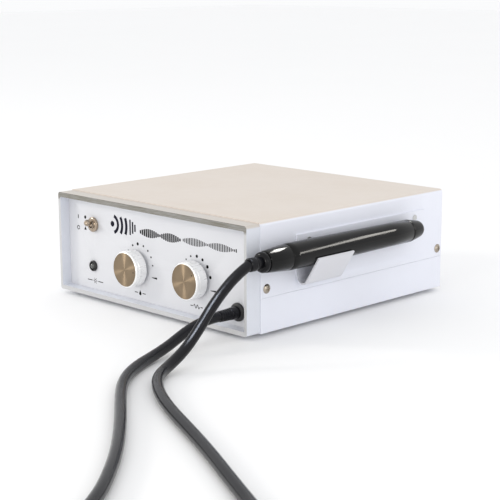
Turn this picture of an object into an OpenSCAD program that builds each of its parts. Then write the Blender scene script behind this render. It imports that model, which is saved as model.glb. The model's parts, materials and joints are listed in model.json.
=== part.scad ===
// Benchtop ultrasonic scaler: a steel control unit with a front bezel, two dials, a mains toggle,
// an indicator, a side holder with the handpiece in it, and one free hose between unit and handpiece.
// Millimetres. +Z is up, the controls face -Y, the handpiece lies on the +X side.
// The origin is the centre of the case's footprint, on the surface that the feet rest on.

/* [Case] */
// Outside width of the case
case_w = 202; // [196:1:210]
// Outside depth of the case, bezel included
case_d = 207; // [200:1:214]
// Height of the case without its feet
case_h = 75; // [74:1:78]
// Height of the rubber feet
foot_h = 3; // [3:0.5:5]
// Thickness of the sheet-metal cover and chassis
sheet = 1.2; // [1:0.1:1.4]
// Radius of the cover's bent upper edges
bend_r = 2.4; // [2:0.2:3]
// Height of the seam between cover and chassis, above the case's underside
seam_h = 23.8; // [22:0.2:24]

/* [Front] */
// Depth of the bezel ring
bezel_d = 12.4; // [11:0.2:13]
// Wall of the bezel ring at its front
bezel_wall = 2.4; // [2:0.1:2.6]
// Height of the bezel's top bar
bezel_top = 3.7; // [2.4:0.1:4]
// Height of the bezel's bottom bar
bezel_bottom = 3.2; // [2.4:0.1:3.6]
// How far the panel sits behind the bezel's front face
recess = 8; // [7:0.5:8.5]
// Thickness of the front panel
panel_t = 2; // [1.5:0.1:2]
// Diameter of both dials' knobs
knob_dia = 26.4; // [24:0.2:27.6]
// Distance between the two knob axes
knob_pitch = 63.2; // [60:0.2:64]
// Height of the water knob's axis above the rest surface
knob_z = 30.8; // [30.2:0.2:32]

/* [Handpiece] */
// Largest diameter of the handpiece barrel
barrel_dia = 18.2; // [17.4:0.1:18.4]
// Diameter of the barrel where the nose cone starts
barrel_front_dia = 16.6; // [16:0.1:17]
// Outside diameter of the nose at its open end
nose_dia = 11.7; // [11.2:0.1:12.4]
// Diameter of the bore that takes an insert
insert_bore_dia = 8.4; // [8:0.1:8.6]
// Height of the handpiece axis above the rest surface
handpiece_z = 55; // [54.8:0.1:56]

/* [Hose] */
// Outside diameter of the hose
hose_dia = 7; // [6.6:0.1:7]
// Outside radius of the stored coil of hose
coil_r1 = 50; // [48:0.5:50]

/* [Hidden] */

$fn = 64;
half_w = case_w / 2;
half_d = case_d / 2;
case_z0 = foot_h;
case_z1 = foot_h + case_h;
seam_z = case_z0 + seam_h;
front_y = -half_d;
bezel_back_y = front_y + bezel_d;
panel_y = front_y + recess;
panel_back_y = panel_y + panel_t;
rear_inset = 2;
rear_y = half_d - rear_inset;
rear_t = sheet;
rear_inner_y = rear_y - rear_t;
floor_z = foot_h + sheet;
slit = 0.05;              // daylight between parts that lie against each other
step = 0.5;               // how far the cover stands proud of the bezel

// Cover and chassis fastening
screw_z = case_z0 + 30.1;
front_screw_y = front_y + 18.2;
rear_screw_y = half_d - 4.9;
flange_top_z = screw_z + 5;
tab_w = 6;
bezel_screw_x = half_w - step - bezel_wall - 2;
bezel_screw_zs = [case_z0 + 11, case_z0 + 28];
foot_xs = [-half_w + 22, half_w - 22];
foot_ys = [-half_d + 26, half_d - 26];
foot_screw_r = 1.5;
screw_shank_r = 1.5;
screw_head_r = 3.3;
screw_head_h = 1.6;

// Controls
toggle_x = -68.4;
toggle_z = 55.6;
toggle_tilt = 25;         // lever up at rest, measured from the panel's normal
toggle_pivot_y = panel_y - 2.2;
toggle_pin_r = 0.8;
lever_len = 4.4;
lever_tip_r = 2.5;
lever_ball_r = 1.8;
bushing_r = 3;
bushing_bore_r = 2.4;
indicator_x = -69.6;
indicator_z = 24;
indicator_stem_r = 3;
indicator_ring_r = 4;
indicator_front_y = panel_y - 1.8;
knob_xs = [-19, -19 + knob_pitch];
knob_rise = 1.6;          // the power control sits this much higher than the water control
knob_zs = [knob_z, knob_z + knob_rise];
knob_r = knob_dia / 2;
knob_face_y = front_y - 4.5;
knob_back_y = panel_y - 2.6;
hub_back_y = panel_y - 0.6;
hub_r = 9;
hub_cavity_r = 6.8;       // clears the control nut
setscrew_y = panel_y - 6;
shaft_r = 3;
shaft_hole_r = shaft_r + 0.05;
shaft_front_y = knob_face_y + 3;
thread_r = 4.5;
thread_front_y = panel_y - 2.6;
gland_x = 84.5;
gland_z = case_z0 + 13.2;
gland_flange_r = 6.4;
gland_flange_t = 2.2;
gland_thread_r = 4.9;
hose_bore_r = 2.4;        // way for the water tube and the leads
relief_y1 = panel_y - gland_flange_t - slit;
relief_y0 = relief_y1 - 16;

// Handpiece
barrel_r = barrel_dia / 2;
handpiece_x = half_w + sheet + barrel_r + 0.5;
barrel_front_r = barrel_front_dia / 2;
nose_r = nose_dia / 2;
tail_end_y = front_y - 9.5;
ring_y0 = front_y + 0.6;
ring_y1 = front_y + 5;
cone_y1 = front_y + 24.5;
sheath_y1 = front_y + 150.5;
nose_tip_y = front_y + 165.5;
bore_r = insert_bore_dia / 2;
sheath_bore_r = 6.2;
collar_r = 4.6;
collar_neck_r = 4;
ring_r = 7;
cone_start_r = 7.3;

// Holder: a sheet bent into a channel at its lower edge
holder_t = sheet;
holder_y0 = front_y + 46;
holder_y1 = front_y + 184.5;
lip_y1 = front_y + 82;
holder_top_z = case_z0 + 62.6;
holder_bend_r = 4.5;
holder_bend_z = case_z0 + 34.6;
lip_angle = 32;           // from the vertical
lip_len = 20.5;
rivet_r = 1.55;
rivet_ys = [holder_y0 + 12, holder_y1 - 12];
rivet_z = holder_top_z - 5;

// Rear connections
inlet_x = -60;
inlet_pins = [[-7, -2], [7, -2], [0, 2]];
inlet_screw_xs = [inlet_x - 20, inlet_x + 20];
fuse_x = -14;
jack_x = 24;
barb_x = 66;
port_z = 36;

// Inside
core_x = -58;
core_y = 30;
board_z = floor_z + 10;
board_t = 1.6;
board_hole_xs = [-10, 58];
board_hole_ys = [-54, 42];
solenoid_x = 74;
solenoid_y = 62;
solenoid_port_z = floor_z + 5;
valve_port_y = panel_back_y + 18;

// Hose
hose_r = hose_dia / 2;
hose_sides = 10;
coil_centre = [334, -379];
coil_gap = 0.9;           // room for the tie under the coil
coil_r0 = coil_r1 - 24.5;
coil_h = 2 * hose_dia;
tie_t = 0.8;
tie_w = 12;
// Route from the strain relief down to the floor and along it to the coil's left side
gland_route = [
    [84.5, -114, 16.2], [84.5, -120, 16.1], [84.6, -128, 15.4], [84.8, -136, 13.9],
    [85.2, -144, 11.6], [86, -152, 9], [87.2, -160, 6.6], [89, -169, 4.8], [92, -179, 3.8],
    [96.5, -190, 3.6], [102.5, -201.5, 3.6], [110.5, -213.5, 3.6], [121.5, -226, 3.6],
    [135, -238.5, 3.6], [151, -252, 3.6], [168.5, -266.5, 3.6], [187, -282.5, 3.6],
    [206, -300, 3.6], [224, -318.5, 3.6], [241, -338, 3.6], [256, -358.5, 3.8],
    [271, -379, 4.2], [286, -396.5, 4.4], [301.1, -411.9, 4.4]
];
// Route from the coil's upper layer back over the floor and up to the handpiece's tail
handpiece_route = [
    [366.9, -346.1, 11.4], [353, -333, 10.8], [338, -321.5, 8.8], [322, -311.5, 5.8],
    [304, -301.5, 3.9], [285, -291.5, 3.6], [265, -281, 3.6], [244, -270, 3.6], [223, -259.5, 3.6],
    [202, -249.5, 3.6], [181, -239.5, 3.6], [162, -229.5, 3.6], [146, -219.5, 3.6],
    [133.5, -209.8, 3.6], [125, -201, 3.7], [119.6, -192.5, 4.1], [116.8, -184, 6],
    [115.3, -175.5, 9.4], [114.4, -167, 14.7], [113.6, -158, 22.2], [112.9, -148.5, 31.4],
    [112.3, -139.5, 39], [111.9, -130.5, 45.5], [111.8, -126, 48.3], [111.8, -122, 50.6],
    [111.8, -118.4, 52.4], [111.8, -114.8, 54]
];

// ---- helpers ----

module along_y(y0, y1) {
    translate([0, y1, 0]) rotate([90, 0, 0]) linear_extrude(y1 - y0) children();
}

module along_x(x0, x1) {
    translate([x0, 0, 0]) rotate([90, 0, 90]) linear_extrude(x1 - x0) children();
}

module rod_y(x, z, y0, y1, r, sides = 64) {
    translate([x, y0, z]) rotate([-90, 0, 0]) cylinder(h = y1 - y0, r = r, $fn = sides);
}

module rod_x(y, z, x0, x1, r) {
    translate([x0, y, z]) rotate([0, 90, 0]) cylinder(h = x1 - x0, r = r);
}

module tube_y(x, z, y0, y1, r, bore) {
    difference() {
        rod_y(x, z, y0, y1, r);
        rod_y(x, z, y0 - 1, y1 + 1, bore);
    }
}

module hex_nut_y(x, z, y0, y1, across_flats, bore) {
    difference() {
        rod_y(x, z, y0, y1, across_flats / 2 / cos(30), 6);
        rod_y(x, z, y0 - 1, y1 + 1, bore);
    }
}

module turned_y(x, z) {
    translate([x, 0, z]) rotate([-90, 0, 0]) rotate_extrude() children();
}

module block(x0, x1, y0, y1, z0, z1) {
    translate([x0, y0, z0]) cube([x1 - x0, y1 - y0, z1 - z0]);
}

module round_rect(x0, x1, z0, z1, r) {
    translate([x0 + r, z0]) square([x1 - x0 - 2 * r, z1 - z0]);
    translate([x0, z0 + r]) square([x1 - x0, z1 - z0 - 2 * r]);
    for (x = [x0 + r, x1 - r], z = [z0 + r, z1 - r])
        translate([x, z]) circle(r);
}

function unit(v) = v / norm(v);
function tangent(path, i) =
    unit(path[min(i + 1, len(path) - 1)] - path[max(i - 1, 0)]);
function side_of(t) = unit(cross(t, abs(t.z) > 0.9 ? [1, 0, 0] : [0, 0, 1]));
function ring_points(path, i, r, n) =
    let (t = tangent(path, i), a = side_of(t), b = cross(a, t))
    [for (k = [0 : n - 1])
        path[i] + r * (cos(360 * (k + 0.5) / n) * a + sin(360 * (k + 0.5) / n) * b)];

module swept_tube(path, r, n) {
    last = len(path) - 1;
    points = [for (i = [0 : last]) each ring_points(path, i, r, n)];
    sides = [for (i = [0 : last - 1], k = [0 : n - 1])
        [i * n + k, i * n + (k + 1) % n, (i + 1) * n + (k + 1) % n, (i + 1) * n + k]];
    first_cap = [for (k = [n - 1 : -1 : 0]) k];
    last_cap = [for (k = [0 : n - 1]) last * n + k];
    polyhedron(points, concat(sides, [first_cap], [last_cap]));
}

// ---- case ----

module front_bezel() {
    outer = half_w - step;
    color("#d6d9e2")
        difference() {
            along_y(front_y, bezel_back_y)
                round_rect(-outer, outer, case_z0, case_z1 - step, 2.2);
            along_y(front_y - 1, panel_back_y)
                round_rect(-outer + bezel_wall, outer - bezel_wall,
                    case_z0 + bezel_bottom, case_z1 - step - bezel_top, 0.8);
            along_y(panel_back_y - 1, bezel_back_y + 1)
                round_rect(-outer + bezel_wall + 4, outer - bezel_wall - 4,
                    case_z0 + bezel_bottom + 3, case_z1 - step - bezel_top - 3, 0.8);
            for (side = [-1, 1], z = bezel_screw_zs)
                rod_y(side * bezel_screw_x, z, panel_back_y + 0.5, bezel_back_y + 1, 1);
        }
}

module front_panel() {
    edge = half_w - step - bezel_wall - slit;
    color("#e6e6ea")
        difference() {
            along_y(panel_y, panel_back_y - slit)
                round_rect(-edge, edge, case_z0 + bezel_bottom + slit,
                    case_z1 - step - bezel_top - slit, 0.8);
            rod_y(toggle_x, toggle_z, panel_y - 1, panel_back_y + 1, bushing_r + slit);
            rod_y(indicator_x, indicator_z, panel_y - 1, panel_back_y + 1, indicator_stem_r + slit);
            for (i = [0, 1])
                rod_y(knob_xs[i], knob_zs[i], panel_y - 1, panel_back_y + 1, thread_r + slit);
            rod_y(gland_x, gland_z, panel_y - 1, panel_back_y + 1, gland_thread_r + slit);
        }
}

module cover_profile(inset) {
    x = half_w - inset;
    z = case_z1 - inset;
    r = bend_r - inset * 0.9;
    translate([-x, seam_z + 0.15 - inset]) square([2 * x, z - r - seam_z - 0.15 + inset]);
    translate([-x + r, z - r - 1]) square([2 * (x - r), r + 1]);
    for (side = [-1, 1])
        translate([side * (x - r), z - r]) circle(r);
}

module top_cover() {
    color("#e4dcd2")
        difference() {
            along_y(bezel_back_y + slit, half_d) cover_profile(0);
            along_y(bezel_back_y - 1, half_d + 1) cover_profile(sheet);
            for (y = [front_screw_y, rear_screw_y])
                rod_x(y, screw_z, -half_w - 1, half_w + 1, screw_shank_r + slit);
            for (y = rivet_ys)
                rod_x(y, rivet_z, half_w - sheet - 1, half_w + 1, rivet_r + slit);
        }
}

// One side of the chassis: outer wall up to the seam, joggle, and the flange behind the cover
module chassis_side() {
    inner_x = half_w - sheet;
    flange_y0 = bezel_back_y + 1;
    block(inner_x, half_w, bezel_back_y + slit, half_d, case_z0, seam_z);
    block(inner_x - sheet - slit, inner_x + slit, flange_y0, rear_y - 3, seam_z - 6, seam_z - 2);
    block(inner_x - sheet - slit, inner_x - slit, flange_y0, rear_y - 3, seam_z - 3, flange_top_z);
    block(inner_x - tab_w - sheet, inner_x - sheet, flange_y0 - 1 + slit, flange_y0 - 1 + sheet,
        case_z0 + 8, flange_top_z - 2);
    block(inner_x - sheet - slit, inner_x - slit, flange_y0 - 1 + slit, flange_y0 + 1,
        seam_z - 4, flange_top_z - 2);
}

module bottom_chassis() {
    color("#dfe2ea")
        difference() {
            union() {
                block(-half_w, half_w, bezel_back_y + slit, half_d, case_z0, case_z0 + sheet);
                chassis_side();
                mirror([1, 0, 0]) chassis_side();
            }
            for (y = [front_screw_y, rear_screw_y])
                rod_x(y, screw_z, -half_w - 1, half_w + 1, screw_shank_r + slit);
            for (x = foot_xs, y = foot_ys)
                translate([x, y, case_z0 - 1]) cylinder(h = sheet + 2, r = foot_screw_r + slit);
            for (side = [-1, 1], z = bezel_screw_zs)
                rod_y(side * bezel_screw_x, z, bezel_back_y - 1, bezel_back_y + 3, 1.1);
            for (x = [-50 : 8 : 50])
                block(x, x + 3, -10, 40, case_z0 - 1, case_z0 + sheet + 1);
        }
}

module rear_panel() {
    x = half_w - sheet - slit;
    color("#dfe2ea")
        difference() {
            along_y(rear_inner_y, rear_y)
                round_rect(-x, x, case_z0 + sheet + slit, case_z1 - sheet - slit, 1.5);
            block(inlet_x - 13.6, inlet_x + 13.6, rear_y - 3, rear_y + 1, port_z - 10, port_z + 10);
            for (x = inlet_screw_xs)
                rod_y(x, port_z, rear_y - 3, rear_y + 1, 1.6);
            rod_y(fuse_x, port_z, rear_y - 3, rear_y + 1, 6.05);
            rod_y(jack_x, port_z, rear_y - 3, rear_y + 1, 4.55);
            rod_y(barb_x, port_z, rear_y - 3, rear_y + 1, 4.05);
            for (z = [60 : 5 : 70], x = [-60 : 20 : 60])
                block(x - 8, x + 8, rear_y - 3, rear_y + 1, z - 1, z + 1);
        }
}

module rubber_feet() {
    color("#303032")
        for (x = foot_xs, y = foot_ys)
            translate([x, y, 0])
                difference() {
                    cylinder(h = foot_h - slit, r1 = 7, r2 = 7.6);
                    translate([0, 0, -1]) cylinder(h = 2.2, r = 3.4);
                    translate([0, 0, -1]) cylinder(h = foot_h + 2, r = foot_screw_r + slit);
                }
}

module foot_screws() {
    color("#b0b2b6")
        for (x = foot_xs, y = foot_ys)
            translate([x, y, 0]) {
                translate([0, 0, 0.3]) cylinder(h = 0.9 - slit, r = 3);
                translate([0, 0, 0.8]) cylinder(h = foot_h + sheet + 2, r = foot_screw_r);
            }
}

module cover_screws() {
    color("#a89a84")
        for (side = [-1, 1], y = [front_screw_y, rear_screw_y])
            translate([side * (half_w + slit), y, screw_z])
                rotate([0, side * 90, 0])
                    difference() {
                        union() {
                            translate([0, 0, -6]) cylinder(h = 6.2, r = screw_shank_r);
                            rotate_extrude()
                                intersection() {
                                    translate([0, -2.8]) circle(4.4);
                                    square([screw_head_r, screw_head_h]);
                                }
                        }
                        for (a = [0, 90])
                            rotate([0, 0, a])
                                translate([-1.7, -0.35, screw_head_h - 0.8]) cube([3.4, 0.7, 2]);
                    }
}

module bezel_screws() {
    head_y = bezel_back_y + sheet + slit;
    color("#b0b2b6")
        for (side = [-1, 1], z = bezel_screw_zs) {
            rod_y(side * bezel_screw_x, z, panel_back_y + 1, head_y + 1, 0.95);
            rod_y(side * bezel_screw_x, z, head_y, head_y + 1.5, 2);
        }
}

// The channel's outline in X and Z, measured from the cover's side
module holder_outline(with_lip) {
    r = holder_bend_r;
    t = holder_t;
    z = holder_bend_z;
    turn = 90 - lip_angle;
    square_h = holder_top_z - z;
    translate([0, z]) square([t, square_h]);
    intersection() {
        translate([t + r, z])
            difference() {
                circle(r + t);
                circle(r);
            }
        if (with_lip)
            polygon([
                [-1, z], [t + r, z],
                [t + r + 3 * r * sin(turn), z - 3 * r * cos(turn)],
                [t + r, z - 3 * r], [-1, z - 3 * r]
            ]);
        else
            translate([-1, z - 3 * r]) square([t + r + 1, 3 * r]);
    }
    if (with_lip)
        translate([t + r + r * sin(turn), z - r * cos(turn)])
            rotate(-lip_angle)
                square([t, lip_len]);
}

module handpiece_holder() {
    color("#dcdee4")
        difference() {
            union() {
                translate([half_w + slit, 0, 0])
                    along_y(holder_y0, lip_y1) holder_outline(true);
                translate([half_w + slit, 0, 0])
                    along_y(lip_y1, holder_y1)
                        translate([0, holder_bend_z - holder_bend_r])
                            square([holder_t, holder_top_z - holder_bend_z + holder_bend_r]);
            }
            for (y = rivet_ys)
                rod_x(y, rivet_z, half_w - 1, half_w + sheet + 1, rivet_r + slit);
        }
}

module holder_rivets() {
    color("#c4c6cc")
        for (y = rivet_ys) {
            rod_x(y, rivet_z, half_w - sheet - 1, half_w + sheet + 0.3, rivet_r);
            rod_x(y, rivet_z, half_w + sheet + 2 * slit, half_w + sheet + 0.4, 2.4);
            rod_x(y, rivet_z, half_w - sheet - 1, half_w - sheet - slit, 2.4);
        }
}

// ---- front controls ----

module toggle_switch_body() {
    color("#2c4a86")
        difference() {
            union() {
                block(toggle_x - 6.5, toggle_x + 6.5, panel_back_y + 1, panel_back_y + 11,
                    toggle_z - 4, toggle_z + 4);
                rod_y(toggle_x, toggle_z, panel_y - 3.4, panel_back_y + 1, bushing_r);
                for (z = [-3, 0, 3])
                    block(toggle_x - 1, toggle_x + 1, panel_back_y + 11, panel_back_y + 15,
                        toggle_z + z - 0.4, toggle_z + z + 0.4);
            }
            rod_y(toggle_x, toggle_z, panel_y - 4, panel_y + 1, bushing_bore_r);
        }
}

// A round dress nut with a knurled rim
module toggle_fixing_nut() {
    color("#c8c4bc")
        difference() {
            turned_y(toggle_x, toggle_z)
                polygon([
                    [0, panel_y - 2.6], [4.9, panel_y - 2.6], [5.4, panel_y - 2.1],
                    [5.4, panel_y - 0.6], [5, panel_y - slit], [0, panel_y - slit]
                ]);
            rod_y(toggle_x, toggle_z, panel_y - 4, panel_y + 1, bushing_r + slit);
        }
}

module toggle_lever() {
    color("#c8c0b2") {
        rod_x(toggle_pivot_y, toggle_z, toggle_x - 2.1, toggle_x + 2.1, toggle_pin_r);
        translate([toggle_x, toggle_pivot_y, toggle_z])
            rotate([90 - toggle_tilt, 0, 0]) {
                sphere(lever_ball_r);
                cylinder(h = lever_len, r1 = 1.1, r2 = lever_tip_r * 0.86);
                translate([0, 0, lever_len]) sphere(lever_tip_r);
            }
    }
}

module indicator_holder() {
    r = indicator_ring_r;
    stem = indicator_stem_r;
    color("#1b1b1d")
        difference() {
            turned_y(indicator_x, indicator_z)
                polygon([
                    [0, indicator_front_y], [r - 0.9, indicator_front_y],
                    [r, indicator_front_y + 0.9], [r, panel_y - slit], [stem, panel_y - slit],
                    [stem, panel_back_y + 5], [0, panel_back_y + 5]
                ]);
            rod_y(indicator_x, indicator_z, panel_y - 5, panel_back_y + 6, 2.55);
            turned_y(indicator_x, indicator_z)
                polygon([
                    [0, indicator_front_y - 1], [r - 1.2, indicator_front_y - 1],
                    [r - 1.2, indicator_front_y + 0.8], [2.5, indicator_front_y + 1.9],
                    [0, indicator_front_y + 1.9]
                ]);
        }
}

// A domed lens on a stem
module indicator_lens() {
    dome_y = indicator_front_y + 1.6;
    color("#4b4d4a")
        turned_y(indicator_x, indicator_z)
            difference() {
                union() {
                    translate([0, dome_y]) circle(2.5);
                    translate([0, dome_y]) square([2.5, panel_back_y + 4 - dome_y]);
                }
                translate([-10, dome_y - 10]) square([10, 40]);
            }
}

module knob(i) {
    x = knob_xs[i];
    z = knob_zs[i];
    color("#b3a58c")
        difference() {
            turned_y(x, z)
                polygon([
                    [0, knob_face_y + 0.4], [knob_r - 1.6, knob_face_y + 0.4],
                    [knob_r - 1.2, knob_face_y], [knob_r - 0.6, knob_face_y],
                    [knob_r, knob_face_y + 0.6], [knob_r, knob_back_y],
                    [hub_r, knob_back_y], [hub_r, hub_back_y], [0, hub_back_y]
                ]);
            rod_y(x, z, shaft_front_y - 0.1, hub_back_y + 1, shaft_hole_r);
            rod_y(x, z, panel_y - 3.6, hub_back_y + 1, hub_cavity_r);
            translate([x, setscrew_y, z - knob_r - 1]) cylinder(h = knob_r + 1, r = 1.25);
        }
}

module knob_setscrew(i) {
    z = knob_zs[i] - shaft_r - slit;
    color("#38383a")
        difference() {
            translate([knob_xs[i], setscrew_y, z - 5]) cylinder(h = 5, r = 1.2);
            translate([knob_xs[i], setscrew_y, z - 6]) cylinder(h = 3, r = 0.6, $fn = 6);
        }
}

module water_knob() { knob(0); }

module water_knob_setscrew() { knob_setscrew(0); }

module power_knob() { knob(1); }

module power_knob_setscrew() { knob_setscrew(1); }

module water_valve_stem() {
    color("#b89b5e")
        turned_y(knob_xs[0], knob_zs[0])
            polygon([
                [0, shaft_front_y], [shaft_r, shaft_front_y], [shaft_r, panel_back_y + 6],
                [1.6, panel_back_y + 6], [1.6, panel_back_y + 14], [0, panel_back_y + 18]
            ]);
}

module water_valve_body() {
    x = knob_xs[0];
    z = knob_zs[0];
    color("#c0a062")
        difference() {
            union() {
                rod_y(x, z, thread_front_y, panel_back_y + 3, thread_r);
                block(x - 9, x + 9, panel_back_y + slit, panel_back_y + 24, z - 8, z + 8);
                rod_x(valve_port_y, z, x - 17, x + 17, 2.6);
            }
            turned_y(x, z)
                polygon([
                    [0, panel_y - 4], [shaft_hole_r, panel_y - 4],
                    [shaft_hole_r, panel_back_y + 8], [1.7, panel_back_y + 8],
                    [1.7, panel_back_y + 20], [0, panel_back_y + 20]
                ]);
            rod_x(valve_port_y, z, x - 18, x + 18, 1.4);
        }
}

module control_nut(i) {
    color("#c9c9cc")
        hex_nut_y(knob_xs[i], knob_zs[i], panel_y - 2.2, panel_y - slit, 11, thread_r + slit);
}

module water_valve_nut() { control_nut(0); }

module power_control_nut() { control_nut(1); }

module power_shaft() {
    color("#c4c6ca")
        rod_y(knob_xs[1], knob_zs[1], shaft_front_y, panel_back_y + 6, shaft_r);
}

module power_potentiometer() {
    x = knob_xs[1];
    z = knob_zs[1];
    color("#8f8f94")
        difference() {
            union() {
                rod_y(x, z, thread_front_y, panel_back_y + 3, thread_r);
                rod_y(x, z, panel_back_y + slit, panel_back_y + 11, 12);
                block(x - 8, x + 8, panel_back_y + 3, panel_back_y + 5, z - 18, z - 8);
            }
            rod_y(x, z, panel_y - 4, panel_back_y + 7, shaft_hole_r);
        }
}

module hose_gland() {
    color("#141416")
        difference() {
            turned_y(gland_x, gland_z)
                polygon([
                    [0, panel_y - gland_flange_t], [gland_flange_r - 0.8, panel_y - gland_flange_t],
                    [gland_flange_r, panel_y - gland_flange_t + 0.8], [gland_flange_r, panel_y - slit],
                    [gland_thread_r, panel_y - slit], [gland_thread_r, panel_back_y + 10],
                    [0, panel_back_y + 10]
                ]);
            rod_y(gland_x, gland_z, panel_y - 5, panel_back_y + 11, hose_bore_r);
        }
}

module hose_gland_nut() {
    color("#202022")
        hex_nut_y(gland_x, gland_z, panel_back_y + slit, panel_back_y + 5, 12.5, gland_thread_r + slit);
}

module hose_strain_relief() {
    color("#141416")
        difference() {
            turned_y(gland_x, gland_z)
                polygon([[0, relief_y0], [3.75, relief_y0], [4.4, relief_y1], [0, relief_y1]]);
            rod_y(gland_x, gland_z, relief_y0 - 1, relief_y1 + 1, hose_bore_r);
        }
}

// ---- handpiece ----

module handpiece_collar() {
    color("#17181a")
        difference() {
            turned_y(handpiece_x, handpiece_z)
                polygon([
                    [0, tail_end_y], [collar_r - 0.7, tail_end_y], [collar_r, tail_end_y + 0.8],
                    [collar_r, tail_end_y + 5.2], [collar_neck_r, tail_end_y + 6.2],
                    [collar_neck_r, ring_y0 - slit], [0, ring_y0 - slit]
                ]);
            rod_y(handpiece_x, handpiece_z, tail_end_y - 1, ring_y0 + 1, hose_bore_r);
        }
}

module handpiece_rear_ring() {
    color("#1c1d1f")
        difference() {
            turned_y(handpiece_x, handpiece_z)
                polygon([
                    [0, ring_y0], [ring_r - 1, ring_y0], [ring_r, ring_y0 + 1],
                    [ring_r, ring_y1 - 0.6], [ring_r - 0.6, ring_y1], [0, ring_y1]
                ]);
            rod_y(handpiece_x, handpiece_z, ring_y0 - 1, ring_y1 + 1, hose_bore_r);
        }
}

module handpiece_tail_cone() {
    color("#121315")
        turned_y(handpiece_x, handpiece_z)
            polygon([
                [5.4, ring_y1 + slit], [cone_start_r, ring_y1 + slit], [barrel_r - 0.4, cone_y1 - 6],
                [barrel_r - 0.1, cone_y1 - slit], [sheath_bore_r, cone_y1 - slit],
                [sheath_bore_r, cone_y1 - 8]
            ]);
}

module handpiece_sheath() {
    color("#121315")
        turned_y(handpiece_x, handpiece_z)
            polygon([
                [sheath_bore_r, cone_y1], [barrel_r - 0.05, cone_y1], [barrel_r, cone_y1 + 18],
                [barrel_r - 0.15, cone_y1 + 48], [barrel_front_r + 0.25, cone_y1 + 88],
                [barrel_front_r, sheath_y1 - slit], [sheath_bore_r, sheath_y1 - slit]
            ]);
}

module handpiece_nose() {
    color("#121315")
        turned_y(handpiece_x, handpiece_z)
            polygon([
                [bore_r, sheath_y1], [barrel_front_r, sheath_y1],
                [barrel_front_r - 0.6, sheath_y1 + 5], [nose_r + 0.5, nose_tip_y - 3],
                [nose_r, nose_tip_y - 1.4], [nose_r - 0.6, nose_tip_y - 0.4],
                [nose_r - 1.4, nose_tip_y], [bore_r, nose_tip_y]
            ]);
}

module handpiece_coil() {
    color("#a8612f")
        tube_y(handpiece_x, handpiece_z, cone_y1 + 18, sheath_y1 - 20, sheath_bore_r - 0.2, 4.4);
}

module insert_o_ring() {
    color("#8c2f24")
        turned_y(handpiece_x, handpiece_z)
            translate([4.9, sheath_y1 - 3]) circle(0.9, $fn = 24);
}

module handpiece_water_tube() {
    color("#d8d8d0")
        rod_y(handpiece_x, handpiece_z, ring_y1 + 2, cone_y1 + 14, 1.5);
}

// ---- hose ----

module hose_gland_run() {
    color("#101113") swept_tube(gland_route, hose_r, hose_sides);
}

module hose_handpiece_run() {
    color("#101113") swept_tube(handpiece_route, hose_r, hose_sides);
}

module hose_coil() {
    color("#101113")
        translate([coil_centre.x, coil_centre.y, coil_gap])
            rotate_extrude()
                translate([coil_r0, 0])
                    round_rect(0, coil_r1 - coil_r0, 0, coil_h, hose_r);
}

module coil_tie() {
    clear = 0.45;
    z0 = coil_gap - tie_t - slit / 2;
    x0 = sqrt(pow(coil_r0, 2) - pow(tie_w / 2, 2)) - clear;
    x1 = coil_r1 + clear;
    color("#2f3033")
        translate([coil_centre.x, coil_centre.y, 0])
            rotate([0, 0, -45])
                translate([0, -tie_w / 2, 0])
                    along_y(0, tie_w)
                        difference() {
                            round_rect(x0 - tie_t, x1 + tie_t,
                                z0, coil_gap + coil_h + clear + tie_t, hose_r + tie_t);
                            round_rect(x0, x1, z0 + tie_t, coil_gap + coil_h + clear, hose_r);
                        }
}

// ---- rear connections ----

module mains_inlet() {
    color("#19191b")
        difference() {
            union() {
                along_y(rear_y + slit, rear_y + 1.9)
                    round_rect(inlet_x - 25, inlet_x + 25, port_z - 11.3, port_z + 11.3, 4);
                block(inlet_x - 13.5, inlet_x + 13.5, rear_y - 18, rear_y + 1,
                    port_z - 9.9, port_z + 9.9);
            }
            block(inlet_x - 12, inlet_x + 12, rear_y - 13, rear_y + 3, port_z - 8.2, port_z + 8.2);
            for (x = inlet_screw_xs)
                rod_y(x, port_z, rear_y - 3, rear_y + 3, 1.65);
            for (p = inlet_pins)
                block(inlet_x + p.x - 1.05, inlet_x + p.x + 1.05, rear_y - 19, rear_y,
                    port_z + p.y - 2.05, port_z + p.y + 2.05);
        }
}

module mains_inlet_pins() {
    color("#c9b27a")
        for (p = inlet_pins)
            block(inlet_x + p.x - 1, inlet_x + p.x + 1, rear_y - 23, rear_y - 5,
                port_z + p.y - 2, port_z + p.y + 2);
}

module mains_inlet_screws() {
    color("#b0b2b6")
        for (x = inlet_screw_xs) {
            rod_y(x, port_z, rear_y - 6, rear_y + 2, screw_shank_r);
            rod_y(x, port_z, rear_y + 1.95, rear_y + 2.85, 2.8);
        }
}

module fuse_holder() {
    color("#19191b")
        difference() {
            union() {
                rod_y(fuse_x, port_z, rear_y + slit, rear_y + 1.8, 8);
                rod_y(fuse_x, port_z, rear_y - 32, rear_y + 1, 6);
            }
            rod_y(fuse_x, port_z, rear_y - 30, rear_y + 3, 4.6);
        }
}

module fuse_cap() {
    color("#222224")
        difference() {
            union() {
                rod_y(fuse_x, port_z, rear_y + 2.1, rear_y + 5.6, 6.5);
                rod_y(fuse_x, port_z, rear_y - 6, rear_y + 3, 4.5);
            }
            block(fuse_x - 5, fuse_x + 5, rear_y + 4.4, rear_y + 7, port_z - 0.7, port_z + 0.7);
            rod_y(fuse_x, port_z, rear_y - 7, rear_y - 1, 2.75);
        }
}

module fuse_cartridge() {
    color("#cfd4d6")
        rod_y(fuse_x, port_z, rear_y - 28, rear_y - 8, 2.6);
}

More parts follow.
